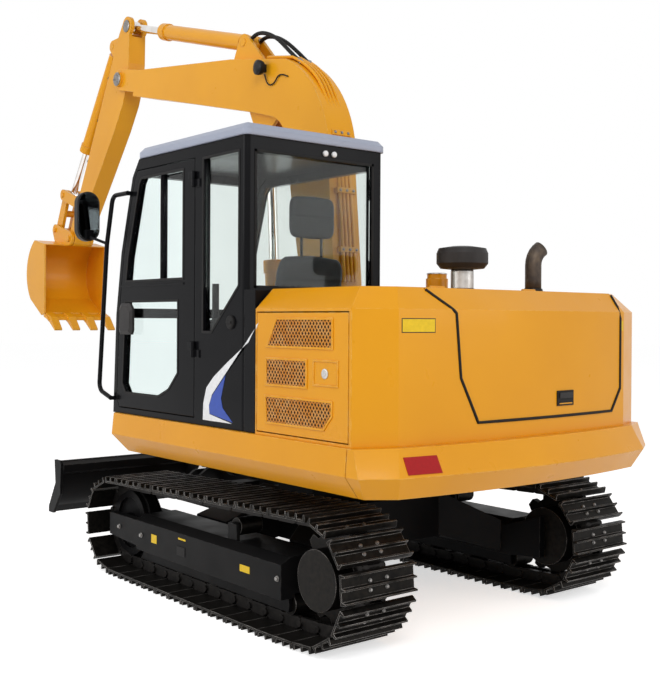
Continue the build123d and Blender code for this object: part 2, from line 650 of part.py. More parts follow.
def hood_shell():
    """The engine housing as one skin: upright sides, a bend and a flat top, open below."""
    loft([tail_face(SKIRT_TOP_Z, HOOD_FRONT_X, HOOD_STEP, HOOD_STEP_REAR),
          tail_face(HOOD_BEND_Z, HOOD_FRONT_X, HOOD_STEP, HOOD_STEP_REAR)], ruled=True)
    loft([tail_face(HOOD_BEND_Z, HOOD_FRONT_X, HOOD_STEP, HOOD_STEP_REAR),
          tail_face(HOOD_TOP_Z, HOOD_FRONT_X, HOOD_STEP + HOOD_BEVEL, HOOD_STEP_REAR + HOOD_BEVEL)], ruled=True)
    inner_x = HOOD_FRONT_X - PANEL
    loft([tail_face(SKIRT_TOP_Z - 5, inner_x, HOOD_STEP + PANEL, HOOD_STEP_REAR + PANEL),
          tail_face(HOOD_BEND_Z - 10, inner_x, HOOD_STEP + PANEL, HOOD_STEP_REAR + PANEL)],
         ruled=True, mode=Mode.SUBTRACT)
    loft([tail_face(HOOD_BEND_Z - 10, inner_x, HOOD_STEP + PANEL, HOOD_STEP_REAR + PANEL),
          tail_face(HOOD_TOP_Z - PANEL, inner_x, HOOD_STEP + HOOD_BEVEL + 10, HOOD_STEP_REAR + HOOD_BEVEL + 10)],
         ruled=True, mode=Mode.SUBTRACT)


def rear_door_prism(growth, mode):
    """The rear door's outline, seen from behind, run forward to its hinge line."""
    left = REAR_DOOR_LEFT_Y + growth
    low = REAR_DOOR_BOTTOM_Z - growth
    with BuildSketch(Plane.YZ.offset(-1700)) as door:
        outline([(left, HOOD_TOP_Z + 50), (left, HOOD_TOP_Z - 8), (left - 123, HOOD_BEND_Z - 21),
                 (left - 153, REAR_DOOR_BEND_Z), (left - 267, low), (REAR_DOOR_RIGHT_Y - growth + 90, low),
                 (REAR_DOOR_RIGHT_Y - growth, low + 120), (REAR_DOOR_RIGHT_Y - growth, HOOD_TOP_Z + 50)])
    extrude(door.sketch, amount=REAR_DOOR_HINGE_X + growth + 1700, mode=mode)


def side_door_box(side, growth, mode):
    """The space of the side door in the left or right wall."""
    low = DECK_HALF_WIDTH - HOOD_STEP - 2 * PANEL
    y = (low, DECK_HALF_WIDTH) if side > 0 else (-DECK_HALF_WIDTH, -low)
    block((SEAM_X + SEAM - growth, HOOD_FRONT_X - 2 * SEAM + growth), y,
          (DOOR_BOTTOM_Z - growth, DOOR_TOP_Z + growth), mode)


def hood_hinge(start, end, radius, mode=Mode.ADD):
    """A round on the rear door's hinge line, seen from the side."""
    side_round((REAR_DOOR_HINGE_X, HOOD_TOP_Z + HOOD_HINGE_BARREL), radius, start, end, mode)


with BuildPart() as engine_housing:
    hood_shell()
    rear_door_prism(GROOVE / 2, Mode.SUBTRACT)
    side_door_box(1, SEAM / 2, Mode.SUBTRACT)
    side_door_box(-1, SEAM / 2, Mode.SUBTRACT)
    for y in (-HOOD_HINGE_SPACING, HOOD_HINGE_SPACING):
        block((REAR_DOOR_HINGE_X + 6, REAR_DOOR_HINGE_X + 50), (y - 50, y - 1), (HOOD_TOP_Z - 1, HOOD_TOP_Z + 6))
        hood_hinge(y - 50, y - 1, HOOD_HINGE_BARREL)
        hood_hinge(y - 50, y + 50, HOOD_HINGE_PIN)
save(engine_housing, "engine_housing")

with BuildPart() as rear_hood:
    hood_shell()
    rear_door_prism(-GROOVE / 2, Mode.INTERSECT)
    for y in (-HOOD_HINGE_SPACING, HOOD_HINGE_SPACING):
        block((REAR_DOOR_HINGE_X - 50, REAR_DOOR_HINGE_X - 6), (y, y + 50), (HOOD_TOP_Z - 1, HOOD_TOP_Z + 6))
        hood_hinge(y, y + 50, HOOD_HINGE_BARREL)
        hood_hinge(y - 5, y + 55, HOOD_HINGE_PIN + SEAT_GAP, Mode.SUBTRACT)
save(rear_hood, "rear_hood")

def side_door(side, name):
    """A side door: one panel of the skin."""
    with BuildPart() as piece:
        hood_shell()
        side_door_box(side, -SEAM / 2, Mode.INTERSECT)
    save(piece, name)
    return piece


left_door = side_door(1, "left_engine_door")
right_door = side_door(-1, "right_engine_door")

with BuildPart() as engine_block:
    block((-1250, -720), (-330, 330), (SKIRT_TOP_Z + 60, 1560))
    for x in (-1200, -770):
        for y in (-280, 280):
            block((x - 40, x + 40), (y - 40, y + 40), (SKIRT_TOP_Z, SKIRT_TOP_Z + 70))
save(engine_block, "engine_block")

with BuildPart() as right_housing:
    side_slab([(HOOD_FRONT_X + SEAM, SKIRT_TOP_Z), (HOOD_FRONT_X + SEAM, 1600), (420, 1560),
               (800, 1300), (880, 1160), (880, SKIRT_TOP_Z)], -DECK_HALF_WIDTH + HOOD_STEP, BAY_RIGHT_Y - 12)
    chamfer(right_housing.edges().filter_by(GeomType.LINE).group_by(Axis.Y)[0].group_by(Axis.Z)[-1], 60)
save(right_housing, "right_housing")

with BuildPart() as precleaner:
    with BuildSketch(Plane(origin=(PRECLEANER[0], PRECLEANER[1], HOOD_TOP_Z), x_dir=(1, 0, 0), z_dir=(0, -1, 0))) as shape:
        outline([(0, 0), (72, 0), (72, 14), (60, 18), (60, 118), (118, 124), (139, 150), (139, 205), (128, 232),
                 (60, 243), (0, 243)])
    revolve(shape.sketch, axis=Axis((PRECLEANER[0], PRECLEANER[1], 0), (0, 0, 1)))
save(precleaner, "precleaner")

with BuildPart() as exhaust_pipe:
    pipe_plane = Plane(origin=(EXHAUST[0], EXHAUST[1], HOOD_TOP_Z), x_dir=(-0.3, -0.95, 0), z_dir=(-0.95, 0.3, 0))
    with BuildLine(pipe_plane) as route:
        Polyline((0, 0), (0, 165), (14, 218), (52, 262), (105, 285))
    with BuildSketch(Plane.XY.offset(HOOD_TOP_Z)) as ring:
        with Locations(EXHAUST):
            Circle(EXHAUST_RADIUS)
            Circle(EXHAUST_RADIUS - 5, mode=Mode.SUBTRACT)
    sweep(ring.sketch, path=route.wire(), transition=Transition.RIGHT)
save(exhaust_pipe, "exhaust_pipe")

with BuildPart() as filler_cap:
    with BuildSketch(Plane.XY.offset(HOOD_TOP_Z)) as neck:
        with Locations(FILLER):
            Circle(63)
    extrude(neck.sketch, amount=82)
    with BuildSketch(Plane.XY.offset(HOOD_TOP_Z + 82)) as lid:
        with Locations(FILLER):
            Circle(56)
    extrude(lid.sketch, amount=26)
save(filler_cap, "filler_cap")


# Cab: a welded frame with its windows cut, a roof cap, a door and the operator's place
CAB_FRONT = ((1023, SKIRT_TOP_Z), (988, 1624), (924, 2000), (785, 2448), (705, CAB_TOP_Z))


def cab_side_points(inset):
    """The cab seen from the side, set in by a wall."""
    front = []
    for x, z in CAB_FRONT:
        front.append((x - inset, min(max(z, SKIRT_TOP_Z + inset), CAB_TOP_Z - inset)))
    return [(CAB_REAR_X + inset, SKIRT_TOP_Z + inset)] + front + [(CAB_REAR_X + inset, CAB_TOP_Z - inset)]


DOOR_OUTLINE = ((DOOR_REAR_X, 1058), (DOOR_REAR_X, 2478), (718, 2478), (752, 2430), (886, 1994), (946, 1620),
                (972, 1110), (940, 1058))
DOOR_UPPER = ((190, 1822), (190, 2432), (672, 2432), (700, 2400), (840, 1960), (862, 1822))
DOOR_LOWER = ((245, 1290), (245, 1700), (868, 1700), (905, 1200), (860, 1146), (464, 1146), (347, 1192))
REAR_QUARTER = ((-369, 1771), (-369, 2470), (-18, 2470), (-18, 1525), (-106, 1525))
RIGHT_WINDOW = ((-340, 1300), (-340, 2450), (660, 2450), (700, 2410), (845, 1960), (905, 1560), (915, 1300))
REAR_WINDOW = ((186, 1765), (186, 2470), (985, 2470), (985, 1765))
FRONT_WINDOW_SIDE = ((1100, 1660), (820, 1660), (650, 2455), (1000, 2455))
FRONT_LOWER_SIDE = ((1150, 1110), (850, 1110), (850, 1600), (1100, 1600))


def pane(points, y_low, y_high):
    """A glass pane that fills a side opening but for its seat gap."""
    with BuildSketch(side_plane(y_high)) as sheet:
        outline(points)
        offset(amount=-SEAT_GAP, kind=Kind.INTERSECTION, mode=Mode.REPLACE)
    extrude(sheet.sketch, amount=y_high - y_low)


def hinge_round(low, high, radius, mode=Mode.ADD):
    """An upright round on the cab door's hinge line."""
    with BuildSketch(Plane.XY.offset(low)) as ring:
        with Locations(DOOR_HINGE):
            Circle(radius)
    extrude(ring.sketch, amount=high - low, mode=mode)


with BuildPart() as cab_shell:
    side_slab(cab_side_points(0), CAB_RIGHT_Y, CAB_LEFT_Y)
    fillet(cab_shell.edges().filter_by(Axis.Z).group_by(Axis.X)[0], 30)
    side_slab(cab_side_points(CAB_WALL), CAB_RIGHT_Y + CAB_WALL, CAB_LEFT_Y - CAB_WALL, Mode.SUBTRACT)
    # Lower rear panel, which closes the gap to the engine housing
    block((CAB_BACK_X, CAB_REAR_X + 10), (CAB_RIGHT_Y, CAB_LEFT_Y), (SKIRT_TOP_Z, CAB_BACK_TOP_Z))
    door_space = [(x, z) for x, z in DOOR_OUTLINE]
    with BuildSketch(side_plane(CAB_LEFT_Y + 10)) as doorway:
        outline(door_space)
        offset(amount=DOOR_GAP, kind=Kind.INTERSECTION, mode=Mode.REPLACE)
    extrude(doorway.sketch, amount=CAB_WALL + 30, mode=Mode.SUBTRACT)
    side_slab(REAR_QUARTER, CAB_LEFT_Y - CAB_WALL - 10, CAB_LEFT_Y + 10, Mode.SUBTRACT)
    side_slab(RIGHT_WINDOW, CAB_RIGHT_Y - 10, CAB_RIGHT_Y + CAB_WALL + 10, Mode.SUBTRACT)
    with BuildSketch(Plane.YZ.offset(CAB_REAR_X - 10)) as rear_opening:
        outline(REAR_WINDOW)
    extrude(rear_opening.sketch, amount=CAB_WALL + 20, mode=Mode.SUBTRACT)
    side_slab(FRONT_WINDOW_SIDE, CAB_RIGHT_Y + 62, CAB_LEFT_Y - 62, Mode.SUBTRACT)
    side_slab(FRONT_LOWER_SIDE, CAB_RIGHT_Y + 62, CAB_LEFT_Y - 62, Mode.SUBTRACT)
    for z in DOOR_HINGE_HEIGHTS:
        hinge_round(z - 45, z - 2, DOOR_HINGE_BARREL)
        hinge_round(z - 45, z + 43, DOOR_HINGE_PIN)
        block((10, DOOR_HINGE[0] - 4), (CAB_LEFT_Y - 2, CAB_LEFT_Y + 7), (z - 45, z - 2))
save(cab_shell, "cab_shell")

with BuildPart() as cab_glass:
    middle_left = CAB_LEFT_Y - CAB_WALL / 2
    middle_right = CAB_RIGHT_Y + CAB_WALL / 2
    pane(REAR_QUARTER, middle_left - GLASS / 2, middle_left + GLASS / 2)
    pane(RIGHT_WINDOW, middle_right - GLASS / 2, middle_right + GLASS / 2)
    with BuildSketch(Plane.YZ.offset(CAB_REAR_X + CAB_WALL / 2)) as rear_pane:
        outline(REAR_WINDOW)
        offset(amount=-SEAT_GAP, kind=Kind.INTERSECTION, mode=Mode.REPLACE)
    extrude(rear_pane.sketch, amount=GLASS)
save(cab_glass, "cab_glass")

with BuildPart() as windscreen:
    # Panes follow the front profile, half a wall in
    depth = CAB_WALL / 2
    low = CAB_RIGHT_Y + 62 + SEAT_GAP
    high = CAB_LEFT_Y - 62 - SEAT_GAP
    for opening in (FRONT_WINDOW_SIDE, FRONT_LOWER_SIDE):
        with BuildSketch(side_plane(high)) as strip:
            front = [(x - depth, z) for x, z in CAB_FRONT]
            back = [(x - depth - GLASS, z) for x, z in CAB_FRONT]
            outline(front + back[::-1])
            with BuildLine() as opening_line:
                Polyline(*opening, close=True)
            make_face(opening_line.edges(), mode=Mode.INTERSECT)
            offset(amount=-SEAT_GAP, kind=Kind.INTERSECTION, mode=Mode.REPLACE)
        extrude(strip.sketch, amount=high - low)
save(windscreen, "windscreen")

with BuildPart() as cab_roof:
    with BuildSketch(Plane.XY.offset(CAB_TOP_Z)) as eaves:
        with Locations(((705 + CAB_REAR_X - 14) / 2, (CAB_LEFT_Y + CAB_RIGHT_Y) / 2)):
            RectangleRounded(705 - CAB_REAR_X + 14, CAB_LEFT_Y - CAB_RIGHT_Y + 24, 40)
    extrude(eaves.sketch, amount=ROOF_TOP_Z - CAB_TOP_Z)
    chamfer(cab_roof.faces().sort_by(Axis.Z)[-1].edges(), ROOF_BEVEL)
save(cab_roof, "cab_roof")

with BuildPart() as cab_door:
    side_slab(DOOR_OUTLINE, CAB_LEFT_Y - CAB_WALL, CAB_LEFT_Y)
    side_slab(DOOR_UPPER, CAB_LEFT_Y - CAB_WALL - 10, CAB_LEFT_Y + 10, Mode.SUBTRACT)
    side_slab(DOOR_LOWER, CAB_LEFT_Y - CAB_WALL - 10, CAB_LEFT_Y + 10, Mode.SUBTRACT)
    for z in DOOR_HINGE_HEIGHTS:
        block((DOOR_HINGE[0] + 8, 125), (CAB_LEFT_Y - 2, CAB_LEFT_Y + 7), (z, z + 43))
        hinge_round(z, z + 43, DOOR_HINGE_BARREL)
        hinge_round(z - 5, z + 48, DOOR_HINGE_PIN + SEAT_GAP, Mode.SUBTRACT)
save(cab_door, "cab_door")

with BuildPart() as door_glass:
    pane(DOOR_UPPER, middle_left - GLASS / 2, middle_left + GLASS / 2)
    pane(DOOR_LOWER, middle_left - GLASS / 2, middle_left + GLASS / 2)
save(door_glass, "door_glass")

CAB_FLOOR_Z = SKIRT_TOP_Z + CAB_WALL
SEAT_Y = 490
with BuildPart() as operator_seat:
    block((-230, 170), (SEAT_Y - 150, SEAT_Y + 150), (CAB_FLOOR_Z, 1330))
    block((-260, 230), (SEAT_Y - 235, SEAT_Y + 235), (1330, 1450))
    fillet(operator_seat.faces().sort_by(Axis.Z)[-1].edges(), 35)
    with BuildSketch(side_plane(SEAT_Y + 225)) as back_side:
        outline([(-260, 1440), (-130, 1440), (-215, 1960), (-310, 1960)])
    extrude(back_side.sketch, amount=450)
    with BuildSketch(side_plane(SEAT_Y + 155)) as head_side:
        outline([(-300, 1955), (-225, 1955), (-235, 2290), (-300, 2290)])
    extrude(head_side.sketch, amount=310)
save(operator_seat, "operator_seat")

with BuildPart() as consoles:
    for y_low, y_high in ((CAB_RIGHT_Y + CAB_WALL + 12, SEAT_Y - 245), (SEAT_Y + 245, SEAT_Y + 375)):
        side_slab([(-330, CAB_FLOOR_Z), (-330, 1560), (150, 1600), (330, 1560), (300, 1400), (170, CAB_FLOOR_Z)],
                  y_low, y_high)
        stick = (y_low + y_high) / 2
        with BuildSketch(Plane.XY.offset(1570)) as grip:
            with Locations((235, stick)):
                Circle(20)
        extrude(grip.sketch, amount=230)
    for y in (430, 550):
        block((640, 690), (y - 40, y + 40), (CAB_FLOOR_Z, CAB_FLOOR_Z + 60))
        side_round((665, CAB_FLOOR_Z + 40), 14, y - 20, y + 20)
        side_slab([(655, CAB_FLOOR_Z + 40), (560, 1530), (585, 1530), (680, CAB_FLOOR_Z + 40)], y - 9, y + 9)
save(consoles, "consoles")

with BuildPart() as handrail:
    rail_y = CAB_LEFT_Y + 28
    with BuildLine() as rail_path:
        FilletPolyline((790, rail_y, 2352), (985, rail_y, 2352), (1062, rail_y, 2060), (1160, rail_y, 1150),
                       (1000, rail_y, 1106), radius=60)
    with BuildSketch(Plane(origin=(790, rail_y, 2352), x_dir=(0, 1, 0), z_dir=(1, 0, 0))) as rail_ring:
        Circle(14)
    sweep(rail_ring.sketch, path=rail_path.wire())
    # Feet that seat the rail on the cab's side
    block((790, 808), (CAB_LEFT_Y + SEAT_GAP, rail_y), (2340, 2364))
    block((992, 1012), (CAB_LEFT_Y + SEAT_GAP, rail_y), (1094, 1118))
    # Stalk that carries the mirror
    with BuildLine() as stalk_path:
        Line((1062, rail_y, 2062), (1170, CAB_LEFT_Y + 90, 2106))
    with BuildSketch(Plane(origin=(1062, rail_y, 2062), z_dir=(118, 67, 48))) as stalk_ring:
        Circle(9)
    sweep(stalk_ring.sketch, path=stalk_path.wire())
    block((1160, 1180 - SEAT_GAP), (CAB_LEFT_Y + 70, CAB_LEFT_Y + 120), (2090, 2150))
save(handrail, "handrail")

with BuildPart() as mirror:
    with BuildSketch(Plane(origin=(1180, CAB_LEFT_Y + 95, 2235), x_dir=(0, 1, 0), z_dir=(1, 0, 0))) as mirror_face:
        SlotOverall(310, 150, rotation=90)
    extrude(mirror_face.sketch, amount=45)
save(mirror, "mirror")


# Boom: a bent box beam with a foot boss, a fork at its tip and brackets for the cylinders
def front_band(half_width):
    """The low and high y of a piece centred on the front's middle plane."""
    return (FRONT_Y - half_width, FRONT_Y + half_width)


def ear_pair(circles, inner_half, thickness, mode=Mode.ADD):
    """Two equal plates either side of the middle plane."""
    for cheek in (-1, 1):
        low = FRONT_Y + cheek * inner_half
        high = FRONT_Y + cheek * (inner_half + thickness)
        hull_slab(circles, min(low, high), max(low, high), mode)


BOOM_HALF = BOOM_WIDTH / 2
ARM_HALF = ARM_WIDTH / 2
FORK_PLATE = BOOM_HALF - ARM_HALF - SIDE_GAP - 4
EYE_HALF = 38
EYE_GAP = SIDE_GAP

with BuildPart() as boom:
    with BuildSketch(side_plane(FRONT_Y + BOOM_HALF)) as boom_side:
        with BuildLine() as boom_line:
            Polyline((BOOM_FOOT[0] - 103, BOOM_FOOT[1] + 20), (112, 1830), (175, 2520))
            ThreePointArc((175, 2520), (330, 3065), (640, 3305))
            Polyline((640, 3305), (1290, 3422), (2700, 3600), (2720, 3397), (2165, 3275), (1065, 3022), (800, 2952))
            ThreePointArc((800, 2952), (680, 2880), (620, 2740))
            Polyline((620, 2740), (560, 2370), (450, 1800), (BOOM_FOOT[0] + 103, BOOM_FOOT[1] + 20),
                     (BOOM_FOOT[0] - 103, BOOM_FOOT[1] + 20))
        make_face(boom_line.edges())
        with Locations(BOOM_FOOT):
            Circle(105)
    extrude(boom_side.sketch, amount=BOOM_WIDTH)
    side_round(BOOM_FOOT, PIN_RADIUS + SEAT_GAP, *front_band(BOOM_HALF + 5), Mode.SUBTRACT)
    ear_pair([((2620, 3500), 88), (BOOM_TIP, 88)], BOOM_HALF - FORK_PLATE, FORK_PLATE)
    for cheek in (-1, 1):
        low = FRONT_Y + cheek * BOOM_HALF
        high = FRONT_Y + cheek * (BOOM_HALF + 22)
        side_round(BOOM_TIP, 62, min(low, high), max(low, high))
    side_round(BOOM_TIP, PIN_RADIUS + 4, *front_band(BOOM_HALF + 20))
    # Bracket below for the boom cylinder's rod
    ear_pair([((780, 2975), 25), ((1080, 3030), 25), (BOOM_CYLINDER_EYE, 62)], EYE_HALF + EYE_GAP, 24)
    # Raised bracket on top for the arm cylinder
    ear_pair([((960, 3350), 22), ((1300, 3395), 22), (ARM_CYLINDER_FOOT, 58)], EYE_HALF + EYE_GAP, 24)
    side_round(ARM_CYLINDER_FOOT, PIN_RADIUS, *front_band(EYE_HALF + EYE_GAP + 30))
save(boom, "boom")

BOOM_BARREL_LENGTH = 1060
boom_barrel = cylinder_barrel("boom_cylinder_barrel", BOOM_CYLINDER_FOOT, BOOM_CYLINDER_EYE, FRONT_Y,
                              66, 35, BOOM_BARREL_LENGTH, 54, 2 * EYE_HALF, PIN_RADIUS)
boom_rod = cylinder_rod("boom_cylinder_rod", BOOM_CYLINDER_FOOT, BOOM_CYLINDER_EYE, FRONT_Y,
                        35, BOOM_BARREL_LENGTH, 150, 52, 2 * EYE_HALF, PIN_RADIUS)

# Arm: a straight box beam, deepest at the boom pivot
with BuildPart() as arm:
    with BuildSketch(side_plane(FRONT_Y + ARM_HALF)) as arm_side:
        outline([(2840, 4055), (2960, 4045), (3030, 3960), (3300, 3500), (3760, 2710), (BUCKET_PIVOT[0] + 62, BUCKET_PIVOT[1] + 30),
                 (BUCKET_PIVOT[0] - 62, BUCKET_PIVOT[1] - 10), (3620, 2570), (3370, 2860), (3100, 3180), (2960, 3375),
                 (2882, 3550), (2862, 3700), (2855, 3990)])
        with Locations(BUCKET_PIVOT):
            Circle(68)
        with Locations(ARM_CYLINDER_EYE):
            Circle(78)
    extrude(arm_side.sketch, amount=ARM_WIDTH)
    side_round(BOOM_TIP, PIN_RADIUS + 4 + SEAT_GAP, *front_band(ARM_HALF + 5), Mode.SUBTRACT)
    side_round(BUCKET_PIVOT, PIN_RADIUS + SEAT_GAP, *front_band(ARM_HALF + 5), Mode.SUBTRACT)
    side_round(ROCKER_FOOT, PIN_RADIUS - 2, *front_band(ARM_HALF + SIDE_GAP + 26))
    # Slot for the arm cylinder's rod eye at the top
    side_slab([(2700, 3915), (2700, 4120), (3060, 4120), (2990, 3925)], *front_band(EYE_HALF + EYE_GAP),
              Mode.SUBTRACT)
    # Bracket in front for the bucket cylinder
    ear_pair([((3010, 3930), 22), ((3110, 3770), 22), (BUCKET_CYLINDER_FOOT, 48)], EYE_HALF - 8 + EYE_GAP, 20)
    side_round(BUCKET_CYLINDER_FOOT, PIN_RADIUS - 4, *front_band(EYE_HALF - 8 + EYE_GAP + 24))
save(arm, "arm")

ARM_BARREL_LENGTH = 1260
arm_barrel = cylinder_barrel("arm_cylinder_barrel", ARM_CYLINDER_FOOT, ARM_CYLINDER_EYE, FRONT_Y,
                             58, 32, ARM_BARREL_LENGTH, 54, 2 * EYE_HALF, PIN_RADIUS)
arm_rod = cylinder_rod("arm_cylinder_rod", ARM_CYLINDER_FOOT, ARM_CYLINDER_EYE, FRONT_Y,
                       32, ARM_BARREL_LENGTH, 480, 50, 2 * EYE_HALF, PIN_RADIUS)
BUCKET_BARREL_LENGTH = 1010
bucket_barrel = cylinder_barrel("bucket_cylinder_barrel", BUCKET_CYLINDER_FOOT, ROCKER_PIN, FRONT_Y,
                                52, 28, BUCKET_BARREL_LENGTH, 46, 2 * EYE_HALF - 16, PIN_RADIUS - 4)
bucket_rod = cylinder_rod("bucket_cylinder_rod", BUCKET_CYLINDER_FOOT, ROCKER_PIN, FRONT_Y,
                          28, BUCKET_BARREL_LENGTH, 300, 44, 2 * EYE_HALF - 16, PIN_RADIUS - 4)

# Linkage: two rocker plates outside the arm and a link down to the bucket
ROCKER_INNER = ARM_HALF + SIDE_GAP
LINK_INNER = EYE_HALF + 6
with BuildPart() as rocker_links:
    for cheek in (-1, 1):
        low = FRONT_Y + cheek * ROCKER_INNER
        high = FRONT_Y + cheek * (ROCKER_INNER + ROCKER_PLATE)
        with BuildSketch(side_plane(max(low, high))) as plate:
            for centre in (ROCKER_FOOT, ROCKER_PIN):
                with Locations(centre):
                    Circle(ROCKER_END_RADIUS)
            make_hull()
            with Locations(ROCKER_FOOT):
                Circle(PIN_RADIUS - 2 + SEAT_GAP, mode=Mode.SUBTRACT)
        extrude(plate.sketch, amount=ROCKER_PLATE)
        # Stub that carries the link plate, and its head outside
        stub_start = FRONT_Y + cheek * (LINK_INNER + 1)
        head_end = FRONT_Y + cheek * (ROCKER_INNER + ROCKER_PLATE + 10)
        side_round(ROCKER_PIN, ROCKER_PIN_RADIUS, min(stub_start, head_end), max(stub_start, head_end))
save(rocker_links, "rocker_links")

with BuildPart() as bucket_link:
    for cheek in (-1, 1):
        low = FRONT_Y + cheek * LINK_INNER
        high = FRONT_Y + cheek * (LINK_INNER + LINK_PLATE)
        with BuildSketch(side_plane(max(low, high))) as plate:
            for centre, radius in ((ROCKER_PIN, 46), (BUCKET_LINK_PIN, 54)):
                with Locations(centre):
                    Circle(radius)
            make_hull()
            with Locations(ROCKER_PIN):
                Circle(ROCKER_PIN_RADIUS + SEAT_GAP, mode=Mode.SUBTRACT)
            with Locations(BUCKET_LINK_PIN):
                Circle(LINK_PIN_RADIUS + LINK_PIN_CLEARANCE, mode=Mode.SUBTRACT)
        extrude(plate.sketch, amount=LINK_PLATE)
    web = along(ROCKER_PIN, BUCKET_LINK_PIN, 180)
    side_round(web, 30, *front_band(LINK_INNER))
save(bucket_link, "bucket_link")

# Bucket: a curved shell between side plates, open towards the machine
BUCKET_HALF = BUCKET_WIDTH / 2


def bucket_face(inset):
    """The bucket's side outline, set in by a plate but left open at the mouth."""
    mouth_x = 4000 - 3 * inset
    with BuildLine() as bucket_line:
        Line((mouth_x, 1640 + inset), (mouth_x, 2262 - inset))
        Line((mouth_x, 2262 - inset), (4215 - inset * 0.6, 2305 - inset))
        ThreePointArc((4215 - inset * 0.6, 2305 - inset), (4388 - inset, 2050), (4300 - inset * 0.7, 1770 + inset * 0.7))
        Line((4300 - inset * 0.7, 1770 + inset * 0.7), (4060, 1625 + inset))
        Line((4060, 1625 + inset), (mouth_x, 1640 + inset))
    make_face(bucket_line.edges())


with BuildPart() as bucket:
    with BuildSketch(side_plane(FRONT_Y + BUCKET_HALF)) as shell:
        bucket_face(0)
    extrude(shell.sketch, amount=BUCKET_WIDTH)
    with BuildSketch(side_plane(FRONT_Y + BUCKET_HALF - BUCKET_PLATE)) as hollow:
        bucket_face(BUCKET_PLATE)
    extrude(hollow.sketch, amount=BUCKET_WIDTH - 2 * BUCKET_PLATE, mode=Mode.SUBTRACT)
    # Cutting lip and teeth
    side_slab([(4010, 1612), (4010, 1642), (3925, 1608), (3910, 1580)], *front_band(BUCKET_HALF))
    for number in range(4):
        y = FRONT_Y + (number - 1.5) * (BUCKET_WIDTH - 90) / 3
        side_slab([(3985, 1598), (3990, 1650), (3890, 1612), (3790, 1502), (3800, 1490), (3905, 1560)], y - 34, y + 34)
    # Ears for the arm pin and the link pin
    ear_pair([(BUCKET_PIVOT, 62), (BUCKET_LINK_PIN, 52), ((4045, 2263), 10), ((4198, 2293), 10)],
             ARM_HALF + SIDE_GAP, 26)
    side_round(BUCKET_PIVOT, PIN_RADIUS, *front_band(ARM_HALF + SIDE_GAP + 40))
    side_round(BUCKET_LINK_PIN, LINK_PIN_RADIUS, *front_band(ARM_HALF + SIDE_GAP + 40))
save(bucket, "bucket")
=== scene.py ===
"""Looks of a crawler excavator. Metres, in the CAD's frame: +X forward, +Y to the operator's left, +Z up."""
import math

import bpy
from mathutils import Matrix, Vector


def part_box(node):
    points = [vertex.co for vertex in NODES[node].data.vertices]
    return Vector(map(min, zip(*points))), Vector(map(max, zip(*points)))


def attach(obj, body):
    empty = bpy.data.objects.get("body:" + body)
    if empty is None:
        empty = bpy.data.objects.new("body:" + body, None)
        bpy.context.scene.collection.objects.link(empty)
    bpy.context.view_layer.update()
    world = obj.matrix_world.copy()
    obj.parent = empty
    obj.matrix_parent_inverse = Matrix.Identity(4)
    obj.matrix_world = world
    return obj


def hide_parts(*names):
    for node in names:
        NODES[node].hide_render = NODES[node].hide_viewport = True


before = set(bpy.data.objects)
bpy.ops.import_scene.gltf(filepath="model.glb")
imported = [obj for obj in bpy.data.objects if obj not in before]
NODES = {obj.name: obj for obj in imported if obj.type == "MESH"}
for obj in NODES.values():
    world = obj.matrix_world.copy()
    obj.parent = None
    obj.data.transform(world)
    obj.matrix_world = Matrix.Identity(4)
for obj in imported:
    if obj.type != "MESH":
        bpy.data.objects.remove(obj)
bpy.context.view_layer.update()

SURFACE_LIFT = 0.0008


# Node trees
def settle(made, **values):
    """Set a node's sockets or, where it has no such socket, its properties."""
    for key, value in values.items():
        socket = key.replace("_", " ")
        if socket in made.inputs:
            made.inputs[socket].default_value = value
        else:
            setattr(made, key, value)
    return made


def node(tree, kind, **values):
    """Add a shader node with its values."""
    return settle(tree.nodes.new(kind), **values)


def new_material(name):
    """An empty material with its Principled shader."""
    made = bpy.data.materials.new(name)
    made.use_nodes = True
    return made, made.node_tree, made.node_tree.nodes["Principled BSDF"]


def noise(tree, scale, detail=3.0, stretch=(1, 1, 1)):
    """A noise that stays with the piece, through its object coordinates."""
    place = node(tree, "ShaderNodeTexCoord")
    mapping = node(tree, "ShaderNodeMapping", Scale=stretch)
    cloud = node(tree, "ShaderNodeTexNoise", Scale=scale, Detail=detail)
    tree.links.new(place.outputs["Object"], mapping.inputs["Vector"])
    tree.links.new(mapping.outputs["Vector"], cloud.inputs["Vector"])
    return cloud.outputs["Fac"]


def ramp(tree, factor, low, high):
    """Stretch a value between low and high to 0 and 1."""
    made = node(tree, "ShaderNodeMapRange", From_Min=low, From_Max=high)
    tree.links.new(factor, made.inputs["Value"])
    return made.outputs["Result"]


def spread(tree, factor, low, high):
    """Stretch 0 to 1 out to low and high."""
    made = node(tree, "ShaderNodeMapRange", To_Min=low, To_Max=high)
    tree.links.new(factor, made.inputs["Value"])
    return made.outputs["Result"]


def mix(tree, factor, first, second):
    """Mix two colours, each a colour or a socket."""
    made = node(tree, "ShaderNodeMix", data_type="RGBA")
    tree.links.new(factor, made.inputs["Factor"])
    for identifier, value in (("A_Color", first), ("B_Color", second)):
        socket = [s for s in made.inputs if s.identifier == identifier][0]
        if isinstance(value, tuple):
            socket.default_value = (*value, 1)
        else:
            tree.links.new(value, socket)
    return [s for s in made.outputs if s.identifier == "Result_Color"][0]


def multiply(tree, first, second):
    """The product of two values."""
    made = node(tree, "ShaderNodeMath", operation="MULTIPLY")
    for socket, value in zip(made.inputs, (first, second)):
        if isinstance(value, (int, float)):
            socket.default_value = value
        else:
            tree.links.new(value, socket)
    return made.outputs[0]


